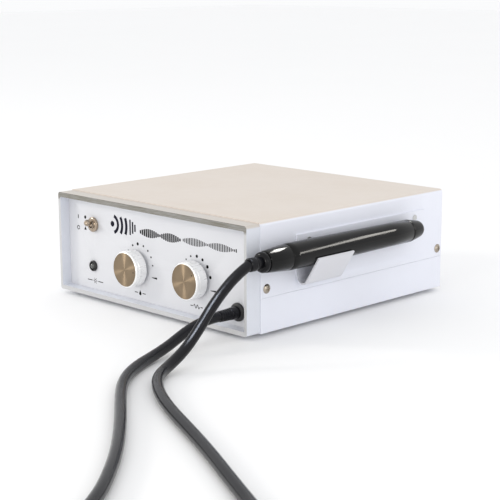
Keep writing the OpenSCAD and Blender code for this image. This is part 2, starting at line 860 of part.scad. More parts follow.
module foot_control_jack() {
    color("#3a3a3c")
        difference() {
            union() {
                rod_y(jack_x, port_z, rear_y + slit, rear_y + 2, 6.5);
                rod_y(jack_x, port_z, rear_y - 2, rear_y + 1, 4.5);
                rod_y(jack_x, port_z, rear_y - 20, rear_inner_y - slit, 8);
            }
            rod_y(jack_x, port_z, rear_y - 17, rear_y + 3, 3.2);
        }
}

module water_inlet_barb() {
    color("#c0a062")
        difference() {
            turned_y(barb_x, port_z)
                polygon([
                    [0, rear_y - 16], [4, rear_y - 16], [4, rear_y + slit], [5.5, rear_y + slit],
                    [5.5, rear_y + 4], [3.2, rear_y + 4], [3.2, rear_y + 16], [2.4, rear_y + 19],
                    [0, rear_y + 19]
                ]);
            rod_y(barb_x, port_z, rear_y - 17, rear_y + 20, 1.6);
        }
}

module water_inlet_nut() {
    color("#c0a062")
        hex_nut_y(barb_x, port_z, rear_y - 5, rear_inner_y - slit, 12, 4.05);
}

// ---- inside ----

module transformer_core() {
    color("#6e6a66")
        translate([core_x, core_y, floor_z + slit])
            difference() {
                translate([-33, -20, 0]) cube([66, 40, 55]);
                for (side = [-1, 1])
                    translate([side * 16.5 - 5.5, -21, 11]) cube([11, 42, 33]);
            }
}

module transformer_winding() {
    color("#c7a86a")
        translate([core_x, core_y, floor_z])
            difference() {
                translate([-21.5, -31, 11.5]) cube([43, 62, 32]);
                translate([-11.4, -20.4, 10]) cube([22.8, 40.8, 35]);
            }
}

module circuit_board() {
    color("#2f6b45")
        difference() {
            block(-14, 62, -58, 46, board_z, board_z + board_t);
            for (x = board_hole_xs, y = board_hole_ys)
                translate([x, y, board_z - 1]) cylinder(h = 4, r = 1.6);
        }
}

module board_standoffs() {
    color("#d8c48a")
        for (x = board_hole_xs, y = board_hole_ys)
            translate([x, y, 0]) {
                translate([0, 0, floor_z + slit])
                    cylinder(h = board_z - floor_z - 2 * slit, r = 3, $fn = 6);
                translate([0, 0, board_z - 1]) cylinder(h = 4, r = 1.5);
            }
}

module heatsink() {
    color("#9ea2a8") {
        block(66, 69, -50, 30, floor_z + slit, floor_z + 42);
        for (z = [8 : 8 : 40])
            block(69, 82, -50, 30, floor_z + z - 1, floor_z + z + 1);
    }
}

module power_transistors() {
    color("#2a2a2c")
        for (y = [-30, -5]) {
            block(61.2, 65.9, y - 8, y + 8, board_z + 8, board_z + 28);
            for (dy = [-5, 0, 5])
                block(63, 64, y + dy - 0.5, y + dy + 0.5, board_z + board_t, board_z + 8);
        }
}

module capacitors() {
    z = board_z + board_t + slit;
    color("#27406e") {
        translate([12, -38, z]) cylinder(h = 30, r = 11);
        translate([12, -8, z]) cylinder(h = 30, r = 11);
        translate([38, -42, z]) cylinder(h = 18, r = 6.3);
        translate([38, 20, z]) cylinder(h = 14, r = 5);
    }
    color("#7b2d22")
        for (x = [30, 42])
            block(x - 4, x + 4, -10, 2, z, z + 12);
}

module solenoid_valve() {
    color("#8e8f93")
        difference() {
            union() {
                block(solenoid_x - 13, solenoid_x + 11, solenoid_y - 12, solenoid_y + 12,
                    floor_z + slit, floor_z + 16);
                translate([solenoid_x, solenoid_y, floor_z + 15]) cylinder(h = 30, r = 11);
            }
            translate([solenoid_x, solenoid_y, floor_z + 8]) cylinder(h = 32, r = 4.55);
            translate([solenoid_x, solenoid_y, floor_z + 5]) cylinder(h = 4, r = 1.2);
            rod_y(solenoid_x, solenoid_port_z, solenoid_y - 13, solenoid_y + 13, 1.4);
        }
}

module solenoid_plunger() {
    color("#c4c6ca")
        translate([solenoid_x, solenoid_y, floor_z + 8.2]) cylinder(h = 26, r = 4.5);
}

module water_tubes() {
    y = valve_port_y;
    z = solenoid_port_z;
    left_port_x = knob_xs[0] - 17.3;
    right_port_x = knob_xs[0] + 17.3;
    inlet_to_solenoid = [
        [barb_x, rear_y - 16.3, port_z], [barb_x, rear_y - 21, port_z - 1],
        [barb_x + 2, rear_y - 23, port_z - 8], [72, 80.5, 19], [solenoid_x, 81, 12],
        [solenoid_x, 79, z + 0.4], [solenoid_x, solenoid_y + 12.5, z]
    ];
    solenoid_to_valve = [
        [solenoid_x, solenoid_y - 12.5, z], [74.2, 44, z], [82, 37, z], [89, 20, z],
        [90, -20, z], [86, -48, z], [70, -62, z], [40, -67, z], [-10, -66, z],
        [-34, -64, 14], [-47, -67, 23], [-46, y + 1, 29.5], [-41, y, knob_z], [left_port_x, y, knob_z]
    ];
    valve_to_gland = [
        [right_port_x, y, knob_z], [5, y, knob_z - 0.3], [12, y + 1, 27], [22, y + 4, 21.5],
        [40, y + 6, 17], [62, y + 6, 16], [77, y + 4, 16], [83.5, y - 1, 16.2],
        [gland_x, panel_back_y + 10.3, gland_z]
    ];
    color("#dcd9ce")
        for (path = [inlet_to_solenoid, solenoid_to_valve, valve_to_gland])
            swept_tube(path, 1.9, 8);
}

front_bezel();
front_panel();
top_cover();
bottom_chassis();
rear_panel();
rubber_feet();
foot_screws();
cover_screws();
bezel_screws();
handpiece_holder();
holder_rivets();
toggle_switch_body();
toggle_fixing_nut();
toggle_lever();
indicator_holder();
indicator_lens();
water_knob();
water_knob_setscrew();
water_valve_stem();
water_valve_body();
water_valve_nut();
power_knob();
power_knob_setscrew();
power_shaft();
power_potentiometer();
power_control_nut();
hose_gland();
hose_gland_nut();
hose_strain_relief();
handpiece_collar();
handpiece_rear_ring();
handpiece_tail_cone();
handpiece_sheath();
handpiece_nose();
handpiece_coil();
insert_o_ring();
handpiece_water_tube();
hose_gland_run();
hose_handpiece_run();
hose_coil();
coil_tie();
mains_inlet();
mains_inlet_pins();
mains_inlet_screws();
fuse_holder();
fuse_cap();
fuse_cartridge();
foot_control_jack();
water_inlet_barb();
water_inlet_nut();
transformer_core();
transformer_winding();
circuit_board();
board_standoffs();
heatsink();
power_transistors();
capacitors();
solenoid_valve();
solenoid_plunger();
water_tubes();
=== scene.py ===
# Looks of the benchtop ultrasonic scaler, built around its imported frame. Metres, +Z up.
import json
import math

import bmesh
import bpy
from mathutils import Matrix, Vector


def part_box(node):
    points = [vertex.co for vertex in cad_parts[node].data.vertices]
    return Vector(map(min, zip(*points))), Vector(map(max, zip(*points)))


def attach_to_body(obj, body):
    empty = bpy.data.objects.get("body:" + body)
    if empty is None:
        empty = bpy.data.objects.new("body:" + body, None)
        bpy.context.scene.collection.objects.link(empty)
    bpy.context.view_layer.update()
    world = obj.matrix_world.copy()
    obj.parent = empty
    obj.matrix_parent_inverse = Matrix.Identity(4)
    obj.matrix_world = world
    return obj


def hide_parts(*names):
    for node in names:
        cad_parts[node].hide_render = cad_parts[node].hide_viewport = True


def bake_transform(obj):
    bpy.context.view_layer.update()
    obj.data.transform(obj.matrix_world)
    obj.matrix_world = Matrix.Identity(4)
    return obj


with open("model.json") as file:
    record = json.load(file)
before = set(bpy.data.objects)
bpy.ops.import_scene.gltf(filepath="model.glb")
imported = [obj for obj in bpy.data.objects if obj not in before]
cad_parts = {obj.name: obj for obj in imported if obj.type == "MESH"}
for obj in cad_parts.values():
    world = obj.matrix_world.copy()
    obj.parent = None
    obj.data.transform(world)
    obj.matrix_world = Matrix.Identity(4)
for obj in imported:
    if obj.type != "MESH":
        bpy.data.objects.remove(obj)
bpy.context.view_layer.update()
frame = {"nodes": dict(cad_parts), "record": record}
NODES = frame["nodes"]
MM = 0.001


# ---- camera ----

CAMERA_PLACE = (0.7059, -0.7011, 0.2399)
CAMERA_AZIMUTH = 45.216
CAMERA_ELEVATION = 11.812
CAMERA_ROLL = -0.207
CAMERA_LENS = 96.46


def camera():
    data = bpy.data.cameras.new("camera")
    data.lens = CAMERA_LENS
    data.sensor_width = 36
    data.clip_start = 0.05
    data.clip_end = 50
    eye = bpy.data.objects.new("camera", data)
    bpy.context.scene.collection.objects.link(eye)
    eye.matrix_world = (
        Matrix.Translation(CAMERA_PLACE)
        @ Matrix.Rotation(math.radians(CAMERA_AZIMUTH), 4, "Z")
        @ Matrix.Rotation(math.radians(90 - CAMERA_ELEVATION), 4, "X")
        @ Matrix.Rotation(math.radians(CAMERA_ROLL), 4, "Z")
    )
    bpy.context.scene.camera = eye


# ---- mesh helpers ----

def new_object(name, bm, material=None):
    mesh = bpy.data.meshes.new(name)
    bm.to_mesh(mesh)
    bm.free()
    piece = bpy.data.objects.new(name, mesh)
    bpy.context.scene.collection.objects.link(piece)
    if material:
        mesh.materials.append(material)
    return piece


def smooth_by_angle(mesh, degrees=35):
    """Smooth faces, with the edges that turn by more than that kept sharp."""
    bm = bmesh.new()
    bm.from_mesh(mesh)
    limit = math.radians(degrees)
    for face in bm.faces:
        face.smooth = True
    for edge in bm.edges:
        edge.smooth = len(edge.link_faces) == 2 and edge.calc_face_angle(0) < limit
    bm.to_mesh(mesh)
    bm.free()


def along(points, spacing):
    """A smooth curve through the points (Catmull-Rom), with a point about every spacing."""
    points = [Vector(p) for p in points]
    ends = [points[0] * 2 - points[1]] + points + [points[-1] * 2 - points[-2]]
    line = []
    for i in range(1, len(ends) - 2):
        p0, p1, p2, p3 = ends[i - 1:i + 3]
        steps = max(1, round((p2 - p1).length / spacing))
        for k in range(steps):
            t = k / steps
            line.append(
                0.5 * (2 * p1 + (p2 - p0) * t + (2 * p0 - 5 * p1 + 4 * p2 - p3) * t ** 2
                       + (3 * p1 - p0 - 3 * p2 + p3) * t ** 3)
            )
    return line + [points[-1]]


def tube(name, path, radius, sides, material):
    """A round tube whose rings stand across the path, turning as little as they can."""
    bm = bmesh.new()
    rings = []
    across = None
    for i, p in enumerate(path):
        ahead = (path[min(i + 1, len(path) - 1)] - path[max(i - 1, 0)]).normalized()
        if across is None:
            across = ahead.cross(Vector((0, 0, 1))).normalized()
        across = (across - across.dot(ahead) * ahead).normalized()
        other = ahead.cross(across)
        ring = []
        for k in range(sides):
            a = math.tau * k / sides
            ring.append(bm.verts.new(p + radius * (math.cos(a) * across + math.sin(a) * other)))
        rings.append(ring)
    for a, b in zip(rings, rings[1:]):
        for k in range(sides):
            bm.faces.new((a[k], a[(k + 1) % sides], b[(k + 1) % sides], b[k]))
    bm.faces.new(list(reversed(rings[0])))
    bm.faces.new(rings[-1])
    bmesh.ops.recalc_face_normals(bm, faces=bm.faces)
    piece = new_object(name, bm, material)
    smooth_by_angle(piece.data, 50)
    return piece


def turned(name, profile, x, z, material, segments=96, sharp=28, closed=False):
    """A body of revolution about the line along Y at x and z, all in millimetres.

    The profile lists (radius, y) or (radius, y, flute), where every other pair of points round
    that ring lies deeper by the flute. A closed profile joins its last ring to its first.
    """
    bm = bmesh.new()
    rings = []
    for radius, y, *flute in profile:
        depth = flute[0] if flute else 0
        if radius < 1e-4:
            rings.append([bm.verts.new((x * MM, y * MM, z * MM))])
            continue
        ring = []
        for k in range(segments):
            a = math.tau * k / segments
            r = radius - (depth if k % 4 > 1 else 0)
            ring.append(bm.verts.new((
                (x + r * math.cos(a)) * MM, y * MM, (z + r * math.sin(a)) * MM)))
        rings.append(ring)
    if closed:
        rings.append(rings[0])
    for a, b in zip(rings, rings[1:]):
        for k in range(segments):
            n = (k + 1) % segments
            if len(a) == 1 and len(b) > 1:
                bm.faces.new((a[0], b[k], b[n]))
            elif len(b) == 1 and len(a) > 1:
                bm.faces.new((a[n], a[k], b[0]))
            elif len(a) > 1:
                bm.faces.new((a[k], b[k], b[n], a[n]))
    bmesh.ops.recalc_face_normals(bm, faces=bm.faces)
    piece = new_object(name, bm, material)
    smooth_by_angle(piece.data, sharp)
    return piece


# ---- materials ----

class Shader:
    """A material with one Principled surface, and short calls for its procedural detail."""

    def __init__(self, name, roughness=0.4, metallic=0.0, **sockets):
        self.material = bpy.data.materials.new(name)
        self.material.use_nodes = True
        self.tree = self.material.node_tree
        self.surface = self.tree.nodes["Principled BSDF"]
        self.set(self.surface, Roughness=roughness, Metallic=metallic)
        for socket, value in sockets.items():
            self.surface.inputs[socket.replace("_", " ")].default_value = value
        self.place = self.node("ShaderNodeTexCoord").outputs["Object"]

    def node(self, kind, **properties):
        made = self.tree.nodes.new(kind)
        for key, value in properties.items():
            setattr(made, key, value)
        return made

    def set(self, node, **values):
        for key, value in values.items():
            node.inputs[key.replace("_", " ")].default_value = value

    def link(self, source, target):
        self.tree.links.new(source, target)

    def moved(self, offset=(0, 0, 0), scale=(1, 1, 1)):
        made = self.node("ShaderNodeMapping")
        self.set(made, Location=offset, Scale=scale)
        self.link(self.place, made.inputs["Vector"])
        return made.outputs["Vector"]

    def noise(self, size, detail, place=None):
        """Noise whose features are about that size, in metres."""
        made = self.node("ShaderNodeTexNoise")
        self.set(made, Scale=1 / size, Detail=detail, Roughness=0.55)
        self.link(place or self.place, made.inputs["Vector"])
        return made.outputs["Fac"]

    def cells(self, size, feature="F1"):
        made = self.node("ShaderNodeTexVoronoi", feature=feature)
        self.set(made, Scale=1 / size)
        self.link(self.place, made.inputs["Vector"])
        return made.outputs["Distance"]

    def wave(self, size, direction="X", rings=False, distortion=0.0, place=None):
        made = self.node("ShaderNodeTexWave", wave_type="RINGS" if rings else "BANDS")
        if rings:
            made.rings_direction = direction
        else:
            made.bands_direction = direction
        # one period of the wave is 2 pi / 20 of its scale's unit
        self.set(made, Scale=math.tau / 20 / size, Distortion=distortion)
        self.link(place or self.place, made.inputs["Vector"])
        return made.outputs["Fac"]

    def span(self, value, low, high, start=0.0, end=1.0):
        made = self.node("ShaderNodeMapRange")
        self.set(made, From_Min=low, From_Max=high, To_Min=start, To_Max=end)
        self.link(value, made.inputs["Value"])
        return made.outputs["Result"]

    def mix(self, factor, one, two):
        made = self.node("ShaderNodeMix", data_type="RGBA")
        self.feed(made.inputs["Factor"], factor)
        self.feed(made.inputs[6], one)
        self.feed(made.inputs[7], two)
        return made.outputs[2]

    def feed(self, socket, value):
        if isinstance(value, bpy.types.NodeSocket):
            self.link(value, socket)
        elif isinstance(value, (tuple, list)):
            socket.default_value = (*value, 1.0)[:4]
        else:
            socket.default_value = value

    def math(self, operation, one, two):
        made = self.node("ShaderNodeMath", operation=operation)
        self.feed(made.inputs[0], one)
        self.feed(made.inputs[1], two)
        return made.outputs[0]

    def colour(self, value):
        self.feed(self.surface.inputs["Base Color"], value)

    def rough(self, value):
        self.feed(self.surface.inputs["Roughness"], value)

    def bump(self, height, depth):
        """Bump from a height of 0 to 1 that stands for that depth in metres. Calls add up."""
        made = self.node("ShaderNodeBump")
        self.set(made, Strength=1.0, Distance=depth)
        self.link(height, made.inputs["Height"])
        before = self.surface.inputs["Normal"].links
        if before:
            self.link(before[0].from_socket, made.inputs["Normal"])
        self.link(made.outputs["Normal"], self.surface.inputs["Normal"])


def srgb(r, g, b):
    """Linear colour of an sRGB one, 0 to 255."""
    return tuple(
        c / 12.92 if c <= 0.04045 else ((c + 0.055) / 1.055) ** 2.4
        for c in (r / 255, g / 255, b / 255)
    )


def facing(s, axis, low, high):
    """Rises from 0 to 1 as the normal's part along that axis (0, 1 or 2) goes from low to high."""
    split = s.node("ShaderNodeSeparateXYZ")
    s.link(s.node("ShaderNodeTexCoord").outputs["Normal"], split.inputs[0])
    return s.span(split.outputs[axis], low, high)


def part_of(s, axis, low, high):
    """Rises from 0 to 1 as the place along that axis goes from low to high, in metres."""
    split = s.node("ShaderNodeSeparateXYZ")
    s.link(s.place, split.inputs[0])
    return s.span(split.outputs[axis], low, high)


def powder_coat(name, tone, painted_lighting_tone, axis, start, end):
    """Satin powder coat: orange-peel bump, clouds of tone, fine specks, and a part in a second painted
    tone: warm painted light on a top, cool painted shade on a part standing out.
    """
    s = Shader(name, roughness=0.42, Specular_IOR_Level=0.4)
    clouds = s.span(s.noise(60 * MM, 4), 0.35, 0.65)
    specks = s.span(s.noise(1.1 * MM, 2), 0.66, 0.74)
    # painted light: past start along the axis the coat takes the second tone, standing for the light or
    # shade that falls on that part
    painted_lighting_mask = part_of(s, axis, start, end)
    fresh = s.mix(clouds, tone, tuple(c * 0.97 for c in tone))
    painted_lighting_colour = s.mix(clouds, painted_lighting_tone, tuple(c * k for c, k in zip(painted_lighting_tone, (0.975, 0.965, 0.95))))
    base = s.mix(painted_lighting_mask, fresh, painted_lighting_colour)
    s.colour(s.mix(s.math("MULTIPLY", specks, 0.10), base, tuple(c * 0.6 for c in tone)))
    s.rough(s.span(s.noise(9 * MM, 3), 0.3, 0.7, 0.40, 0.46))
    s.bump(s.noise(1.6 * MM, 2), 0.035 * MM)
    s.bump(s.noise(0.35 * MM, 2), 0.006 * MM)
    return s.material


def bezel_finish(name, tone, painted_lighting_tone, edge, pale, front_y, top):
    """Lacquered bars: warm painted light on the top face; the front faces darker, olive on the top bar
    and grey on the others.
    """
    s = Shader(name, roughness=0.36, metallic=0.1)
    lines = s.noise(0.5 * MM, 3, place=s.moved(scale=(0.03, 1, 1)))
    stains = s.span(s.noise(22 * MM, 4), 0.45, 0.7)
    # painted light: the top face of the bars takes a warm tone, as if lit from above
    base = s.mix(part_of(s, 2, top - 2.4 * MM, top - 1.2 * MM), tone, painted_lighting_tone)
    # the front faces darker: olive on the top bar, grey on the lower bars
    bars = s.mix(part_of(s, 2, top - 6 * MM, top - 4 * MM), pale, edge)
    front = s.math("MULTIPLY", facing(s, 1, -0.4, -0.8), part_of(s, 1, front_y + 0.9 * MM, front_y))
    base = s.mix(front, base, bars)
    base = s.mix(s.math("MULTIPLY", s.span(lines, 0.35, 0.65), 0.25), base, tuple(c * 0.8 for c in tone))
    s.colour(s.mix(s.math("MULTIPLY", stains, 0.12), base, tuple(c * 0.7 for c in tone)))
    s.rough(s.span(lines, 0.3, 0.7, 0.30, 0.44))
    s.bump(lines, 0.006 * MM)
    return s.material


def printed_panel(name, tone):
    """A flat satin panel under a clear film: a fine film texture and slight yellowing."""
    s = Shader(name, roughness=0.36, Specular_IOR_Level=0.5, Coat_Weight=0.15, Coat_Roughness=0.2)
    cloud = s.span(s.noise(45 * MM, 4), 0.4, 0.65)
    dust = s.span(s.noise(0.8 * MM, 3), 0.62, 0.72)
    base = s.mix(s.math("MULTIPLY", cloud, 0.6), tone, tuple(c * 0.975 for c in tone))
    s.colour(s.mix(s.math("MULTIPLY", dust, 0.06), base, tuple(c * 0.7 for c in tone)))
    s.rough(s.span(s.noise(3 * MM, 3), 0.3, 0.7, 0.31, 0.43))
    s.bump(s.cells(0.25 * MM), 0.004 * MM)
    return s.material


def ink(name, tone):
    """Screen-printed ink: slightly uneven cover, a little shinier than the panel."""
    s = Shader(name, roughness=0.4, Specular_IOR_Level=0.12)
    patch = s.span(s.noise(0.9 * MM, 3), 0.5, 0.75)
    s.colour(s.mix(s.math("MULTIPLY", patch, 0.4), tone, tuple(c * 2 + 0.004 for c in tone)))
    s.rough(s.span(s.noise(0.7 * MM, 2), 0.3, 0.7, 0.32, 0.5))
    s.bump(s.noise(0.3 * MM, 2), 0.008 * MM)
    return s.material


def moulded(name, tone, roughness=0.45, grain=0.5 * MM, depth=0.012 * MM, wear=1.25):
    """Moulded plastic with a fine spark-eroded grain and slightly shinier worn patches."""
    s = Shader(name, roughness=roughness)
    patches = s.span(s.noise(14 * MM, 4), 0.4, 0.65)
    s.colour(s.mix(patches, tone, tuple(min(1, c * wear) for c in tone)))
    s.rough(s.span(s.noise(6 * MM, 3), 0.3, 0.7, roughness - 0.07, roughness + 0.07))
    s.bump(s.noise(grain, 3), depth)
    return s.material


def rubber(name, tone, roughness=0.20, dusty=0.15):
    """Smooth extruded rubber with a dusty bloom and faint die lines."""
    s = Shader(name, roughness=roughness, Specular_IOR_Level=0.22)
    bloom = s.span(s.noise(7 * MM, 4), 0.5, 0.8)
    s.colour(s.mix(s.math("MULTIPLY", bloom, dusty), tone, tuple(c * 2.2 + 0.004 for c in tone)))
    s.rough(s.span(s.noise(3 * MM, 3), 0.3, 0.7, roughness - 0.05, roughness + 0.07))
    s.bump(s.noise(0.6 * MM, 3), 0.006 * MM)
    return s.material


def bare_metal(name, tone, roughness=0.28, grain=(1, 1, 14), wear=0.75,
               depth=0.008 * MM, metallic=1.0):
    """Plated or machined metal with fine drawn lines and a light tarnish."""
    s = Shader(name, roughness=roughness, metallic=metallic)
    lines = s.noise(1.2 * MM, 3, place=s.moved(scale=grain))
    tarnish = s.span(s.noise(5 * MM, 4), 0.4, 0.75)
    s.colour(s.mix(tarnish, tone, tuple(c * wear for c in tone)))
    s.rough(s.span(lines, 0.3, 0.7, roughness - 0.07, roughness + 0.10))
    s.bump(lines, depth)
    return s.material


def spun_metal(name, tone, x, z):
    """A face turned on a lathe: fine rings about its axis, which spread a light into a streak."""
    s = Shader(name, roughness=0.45, metallic=1.0, Anisotropic=0.97, Anisotropic_Rotation=0.25)
    tangent = s.node("ShaderNodeTangent", direction_type="RADIAL", axis="Y")
    s.link(tangent.outputs["Tangent"], s.surface.inputs["Tangent"])
    centred = s.moved(offset=(-x * MM, 0, -z * MM))
    rings = s.wave(0.22 * MM, "Y", rings=True, distortion=0.6, place=centred)
    smear = s.span(s.noise(6 * MM, 4), 0.4, 0.7)
    length = s.node("ShaderNodeVectorMath", operation="LENGTH")
    flat = s.node("ShaderNodeVectorMath", operation="MULTIPLY")
    flat.inputs[1].default_value = (1, 0, 1)
    s.link(centred, flat.inputs[0])
    s.link(flat.outputs["Vector"], length.inputs[0])
    # painted shade: the face darkens from 7 mm out towards its rim
    rim = s.span(length.outputs["Value"], 7 * MM, 12.2 * MM)
    base = s.mix(s.math("MULTIPLY", rings, 0.4), tone, tuple(c * 0.8 for c in tone))
    base = s.mix(s.math("MULTIPLY", smear, 0.35), base, tuple(c * 1.18 for c in tone))
    s.colour(s.mix(s.math("MULTIPLY", rim, 0.35), base, tuple(c * 0.6 for c in tone)))
    s.rough(s.span(smear, 0, 1, 0.42, 0.48))
    s.bump(rings, 0.002 * MM)
    return s.material


def gloss(name, tone, roughness=0.09):
    """Polished moulding: almost mirror smooth, with faint handling haze and hairline scratches."""
    s = Shader(name, roughness=roughness, Specular_IOR_Level=0.20)
    haze = s.span(s.noise(16 * MM, 5), 0.45, 0.7)
    hairs = s.span(s.noise(0.5 * MM, 3, place=s.moved(scale=(1, 0.06, 1))), 0.62, 0.72)
    base = s.mix(s.math("MULTIPLY", haze, 0.3), tone, tuple(c * 1.8 for c in tone))
    s.colour(s.mix(s.math("MULTIPLY", hairs, 0.3), base, tuple(c * 3 + 0.004 for c in tone)))
    s.rough(s.span(haze, 0, 1, roughness - 0.02, roughness + 0.06))
    s.bump(hairs, 0.003 * MM)
    return s.material


def switch_body(name, tone, plated, panel_y):
    """Moulded body behind the panel, plated steel bushing in front of it."""
    s = Shader(name, roughness=0.4)
    inside = part_of(s, 1, panel_y - 0.2 * MM, panel_y + 0.2 * MM)
    grain = s.noise(0.6 * MM, 3)
    body = s.mix(grain, tone, tuple(c * 0.7 for c in tone))
    metal = s.mix(grain, plated, tuple(c * 0.8 for c in plated))
    s.colour(s.mix(inside, metal, body))
    s.feed(s.surface.inputs["Metallic"], s.math("SUBTRACT", 1.0, inside))
    s.rough(s.span(grain, 0.3, 0.7, 0.3, 0.45))
    s.bump(grain, 0.01 * MM)
    return s.material


def dark_lens(name, tone):
    """Smoked lens: a facetted inner face shows as a fine cell pattern under a clear surface."""
    s = Shader(name, roughness=0.10, Coat_Weight=0.8, Coat_Roughness=0.04)
    cells = s.cells(0.8 * MM)
    s.colour(s.mix(cells, tone, tuple(c * 2.4 for c in tone)))
    s.rough(s.span(s.noise(1.5 * MM, 2), 0.3, 0.7, 0.08, 0.2))
    s.bump(cells, 0.03 * MM)
    return s.material


def webbing(name, tone):
    """Woven tape: over-and-under yarns in both directions with a fibrous fuzz."""
    s = Shader(name, roughness=0.85, Sheen_Weight=0.4, Sheen_Roughness=0.5)
    warp = s.wave(0.9 * MM, "Z")
    weft = s.wave(0.9 * MM, "DIAGONAL")
    yarns = s.math("MULTIPLY", warp, weft)
    fuzz = s.noise(0.4 * MM, 4)
    s.colour(s.mix(s.span(yarns, 0, 0.8), tuple(c * 0.45 for c in tone), tone))
    s.rough(s.span(fuzz, 0.3, 0.7, 0.75, 0.95))
    s.bump(yarns, 0.12 * MM)
    s.bump(fuzz, 0.05 * MM)
    return s.material


def laminations(name, tone):
    """A stack of varnished steel sheets seen on their edges."""
    s = Shader(name, roughness=0.5, metallic=0.6)
    sheets = s.wave(0.5 * MM, "Y")
    rust = s.span(s.noise(5 * MM, 5), 0.55, 0.75)
    base = s.mix(s.span(sheets, 0.2, 0.8), tuple(c * 0.4 for c in tone), tone)
    s.colour(s.mix(s.math("MULTIPLY", rust, 0.5), base, (0.16, 0.07, 0.03)))
    s.rough(s.span(sheets, 0, 1, 0.6, 0.35))
    s.bump(sheets, 0.08 * MM)
    return s.material


def wound(name, tone, pitch, direction="Z", metallic=0.0):
    """Turns of wire or tape laid side by side."""
    s = Shader(name, roughness=0.35, metallic=metallic)
    turns = s.wave(pitch, direction, distortion=0.3)
    worn = s.span(s.noise(4 * MM, 4), 0.45, 0.7)
    base = s.mix(s.span(turns, 0.1, 0.7), tuple(c * 0.5 for c in tone), tone)
    s.colour(s.mix(s.math("MULTIPLY", worn, 0.3), base, tuple(c * 0.7 for c in tone)))
    s.rough(s.span(worn, 0, 1, 0.3, 0.5))
    s.bump(turns, pitch * 0.3)
    return s.material


def circuit(name, tone):
    """Solder mask over copper tracks, with tinned pads."""
    s = Shader(name, roughness=0.3, Coat_Weight=0.4, Coat_Roughness=0.1)
    tracks = s.cells(6 * MM, feature="DISTANCE_TO_EDGE")
    copper = s.span(tracks, 0.08, 0.1, 1, 0)
    pads = s.span(s.cells(5 * MM), 0.16, 0.18, 1, 0)
    base = s.mix(copper, tone, tuple(c * 1.7 for c in tone))
    s.colour(s.mix(pads, base, (0.55, 0.55, 0.52)))
    s.rough(s.span(pads, 0, 1, 0.3, 0.22))
    s.bump(s.math("ADD", copper, pads), 0.05 * MM)
    return s.material


def clear_glass(name):
    """Glass tube of a fuse with faint moulding streaks and a trace of soot."""
    s = Shader(name, roughness=0.05, Transmission_Weight=0.85, IOR=1.5)
    soot = s.span(s.noise(6 * MM, 4), 0.5, 0.8)
    s.colour(s.mix(soot, (0.85, 0.88, 0.9), (0.5, 0.5, 0.48)))
    s.rough(s.span(soot, 0, 1, 0.04, 0.2))
    s.bump(s.noise(2 * MM, 2), 0.01 * MM)
    return s.material


def plain_stage(name, tone):
    """Matt paper with the faintest clouds."""
    s = Shader(name, roughness=0.8)
    s.colour(s.mix(s.noise(0.4, 3), tone, tuple(c * 0.985 for c in tone)))
    return s.material


# ---- hose ----

HOSE_DIAMETER = 7 * MM
COIL_CENTRE = Vector((0.334, -0.379, 0))
COIL_START = 225
LAYER_TURNS = 2.5
CLIMB_TURNS = 0.5
COIL_INNER = 29 * MM
COIL_OUTER = 46.5 * MM
COIL_LOW = 4.4 * MM
COIL_HIGH = COIL_LOW + HOSE_DIAMETER
# from the gland to the coil, and from the coil to the handpiece, lying on the surface between
GLAND_ROUTE = [
    (0.0845, -0.114, 0.0162), (0.0845, -0.12, 0.0161), (0.0846, -0.128, 0.0154),
    (0.0848, -0.136, 0.0139), (0.0852, -0.144, 0.0116), (0.086, -0.152, 0.009),
    (0.0872, -0.16, 0.0066), (0.089, -0.169, 0.0048), (0.092, -0.179, 0.0038),
    (0.0965, -0.19, 0.0036), (0.1025, -0.2015, 0.0036), (0.1105, -0.2135, 0.0036),
    (0.1215, -0.226, 0.0036), (0.135, -0.2385, 0.0036), (0.151, -0.252, 0.0036),
    (0.1685, -0.2665, 0.0036), (0.187, -0.2825, 0.0036), (0.206, -0.3, 0.0036),
    (0.224, -0.3185, 0.0036), (0.241, -0.338, 0.0036), (0.256, -0.3585, 0.0038),
    (0.271, -0.379, 0.0042), (0.286, -0.3965, 0.0044), (0.3011, -0.4119, 0.0044),
]
HANDPIECE_ROUTE = [
    (0.3669, -0.3461, 0.0114), (0.353, -0.333, 0.0108), (0.338, -0.3215, 0.0088),
    (0.322, -0.3115, 0.0058), (0.304, -0.3015, 0.0039), (0.285, -0.2915, 0.0036),
    (0.265, -0.281, 0.0036), (0.244, -0.27, 0.0036), (0.223, -0.2595, 0.0036),
    (0.202, -0.2495, 0.0036), (0.181, -0.2395, 0.0036), (0.162, -0.2295, 0.0036),
    (0.146, -0.2195, 0.0036), (0.1335, -0.2098, 0.0036), (0.125, -0.201, 0.0037),
    (0.1196, -0.1925, 0.0041), (0.1168, -0.184, 0.006), (0.1153, -0.1755, 0.0094),
    (0.1144, -0.167, 0.0147), (0.1136, -0.158, 0.0222), (0.1129, -0.1485, 0.0314),
    (0.1123, -0.1395, 0.039), (0.1119, -0.1305, 0.0455), (0.1118, -0.126, 0.0483),
    (0.1118, -0.122, 0.0506), (0.1118, -0.1184, 0.0524), (0.1118, -0.1148, 0.054),
]


def smoothstep(t):
    t = min(1.0, max(0.0, t))
    return t * t * (3 - 2 * t)


def coil_turns():
    """Two flat layers: inwards, half a turn up at the middle, then outwards again."""
    points = []
    steps = 48
    for i in range(1, int((2 * LAYER_TURNS + CLIMB_TURNS) * steps)):
        turn = i / steps
        angle = math.radians(COIL_START + 360 * turn)
        inwards = min(turn, LAYER_TURNS) - max(turn - LAYER_TURNS - CLIMB_TURNS, 0)
        radius = COIL_OUTER - inwards / LAYER_TURNS * (COIL_OUTER - COIL_INNER)
        height = COIL_LOW + (COIL_HIGH - COIL_LOW) * smoothstep((turn - LAYER_TURNS) / CLIMB_TURNS)
        points.append(COIL_CENTRE + Vector(
            (radius * math.cos(angle), radius * math.sin(angle), height)))
    return points


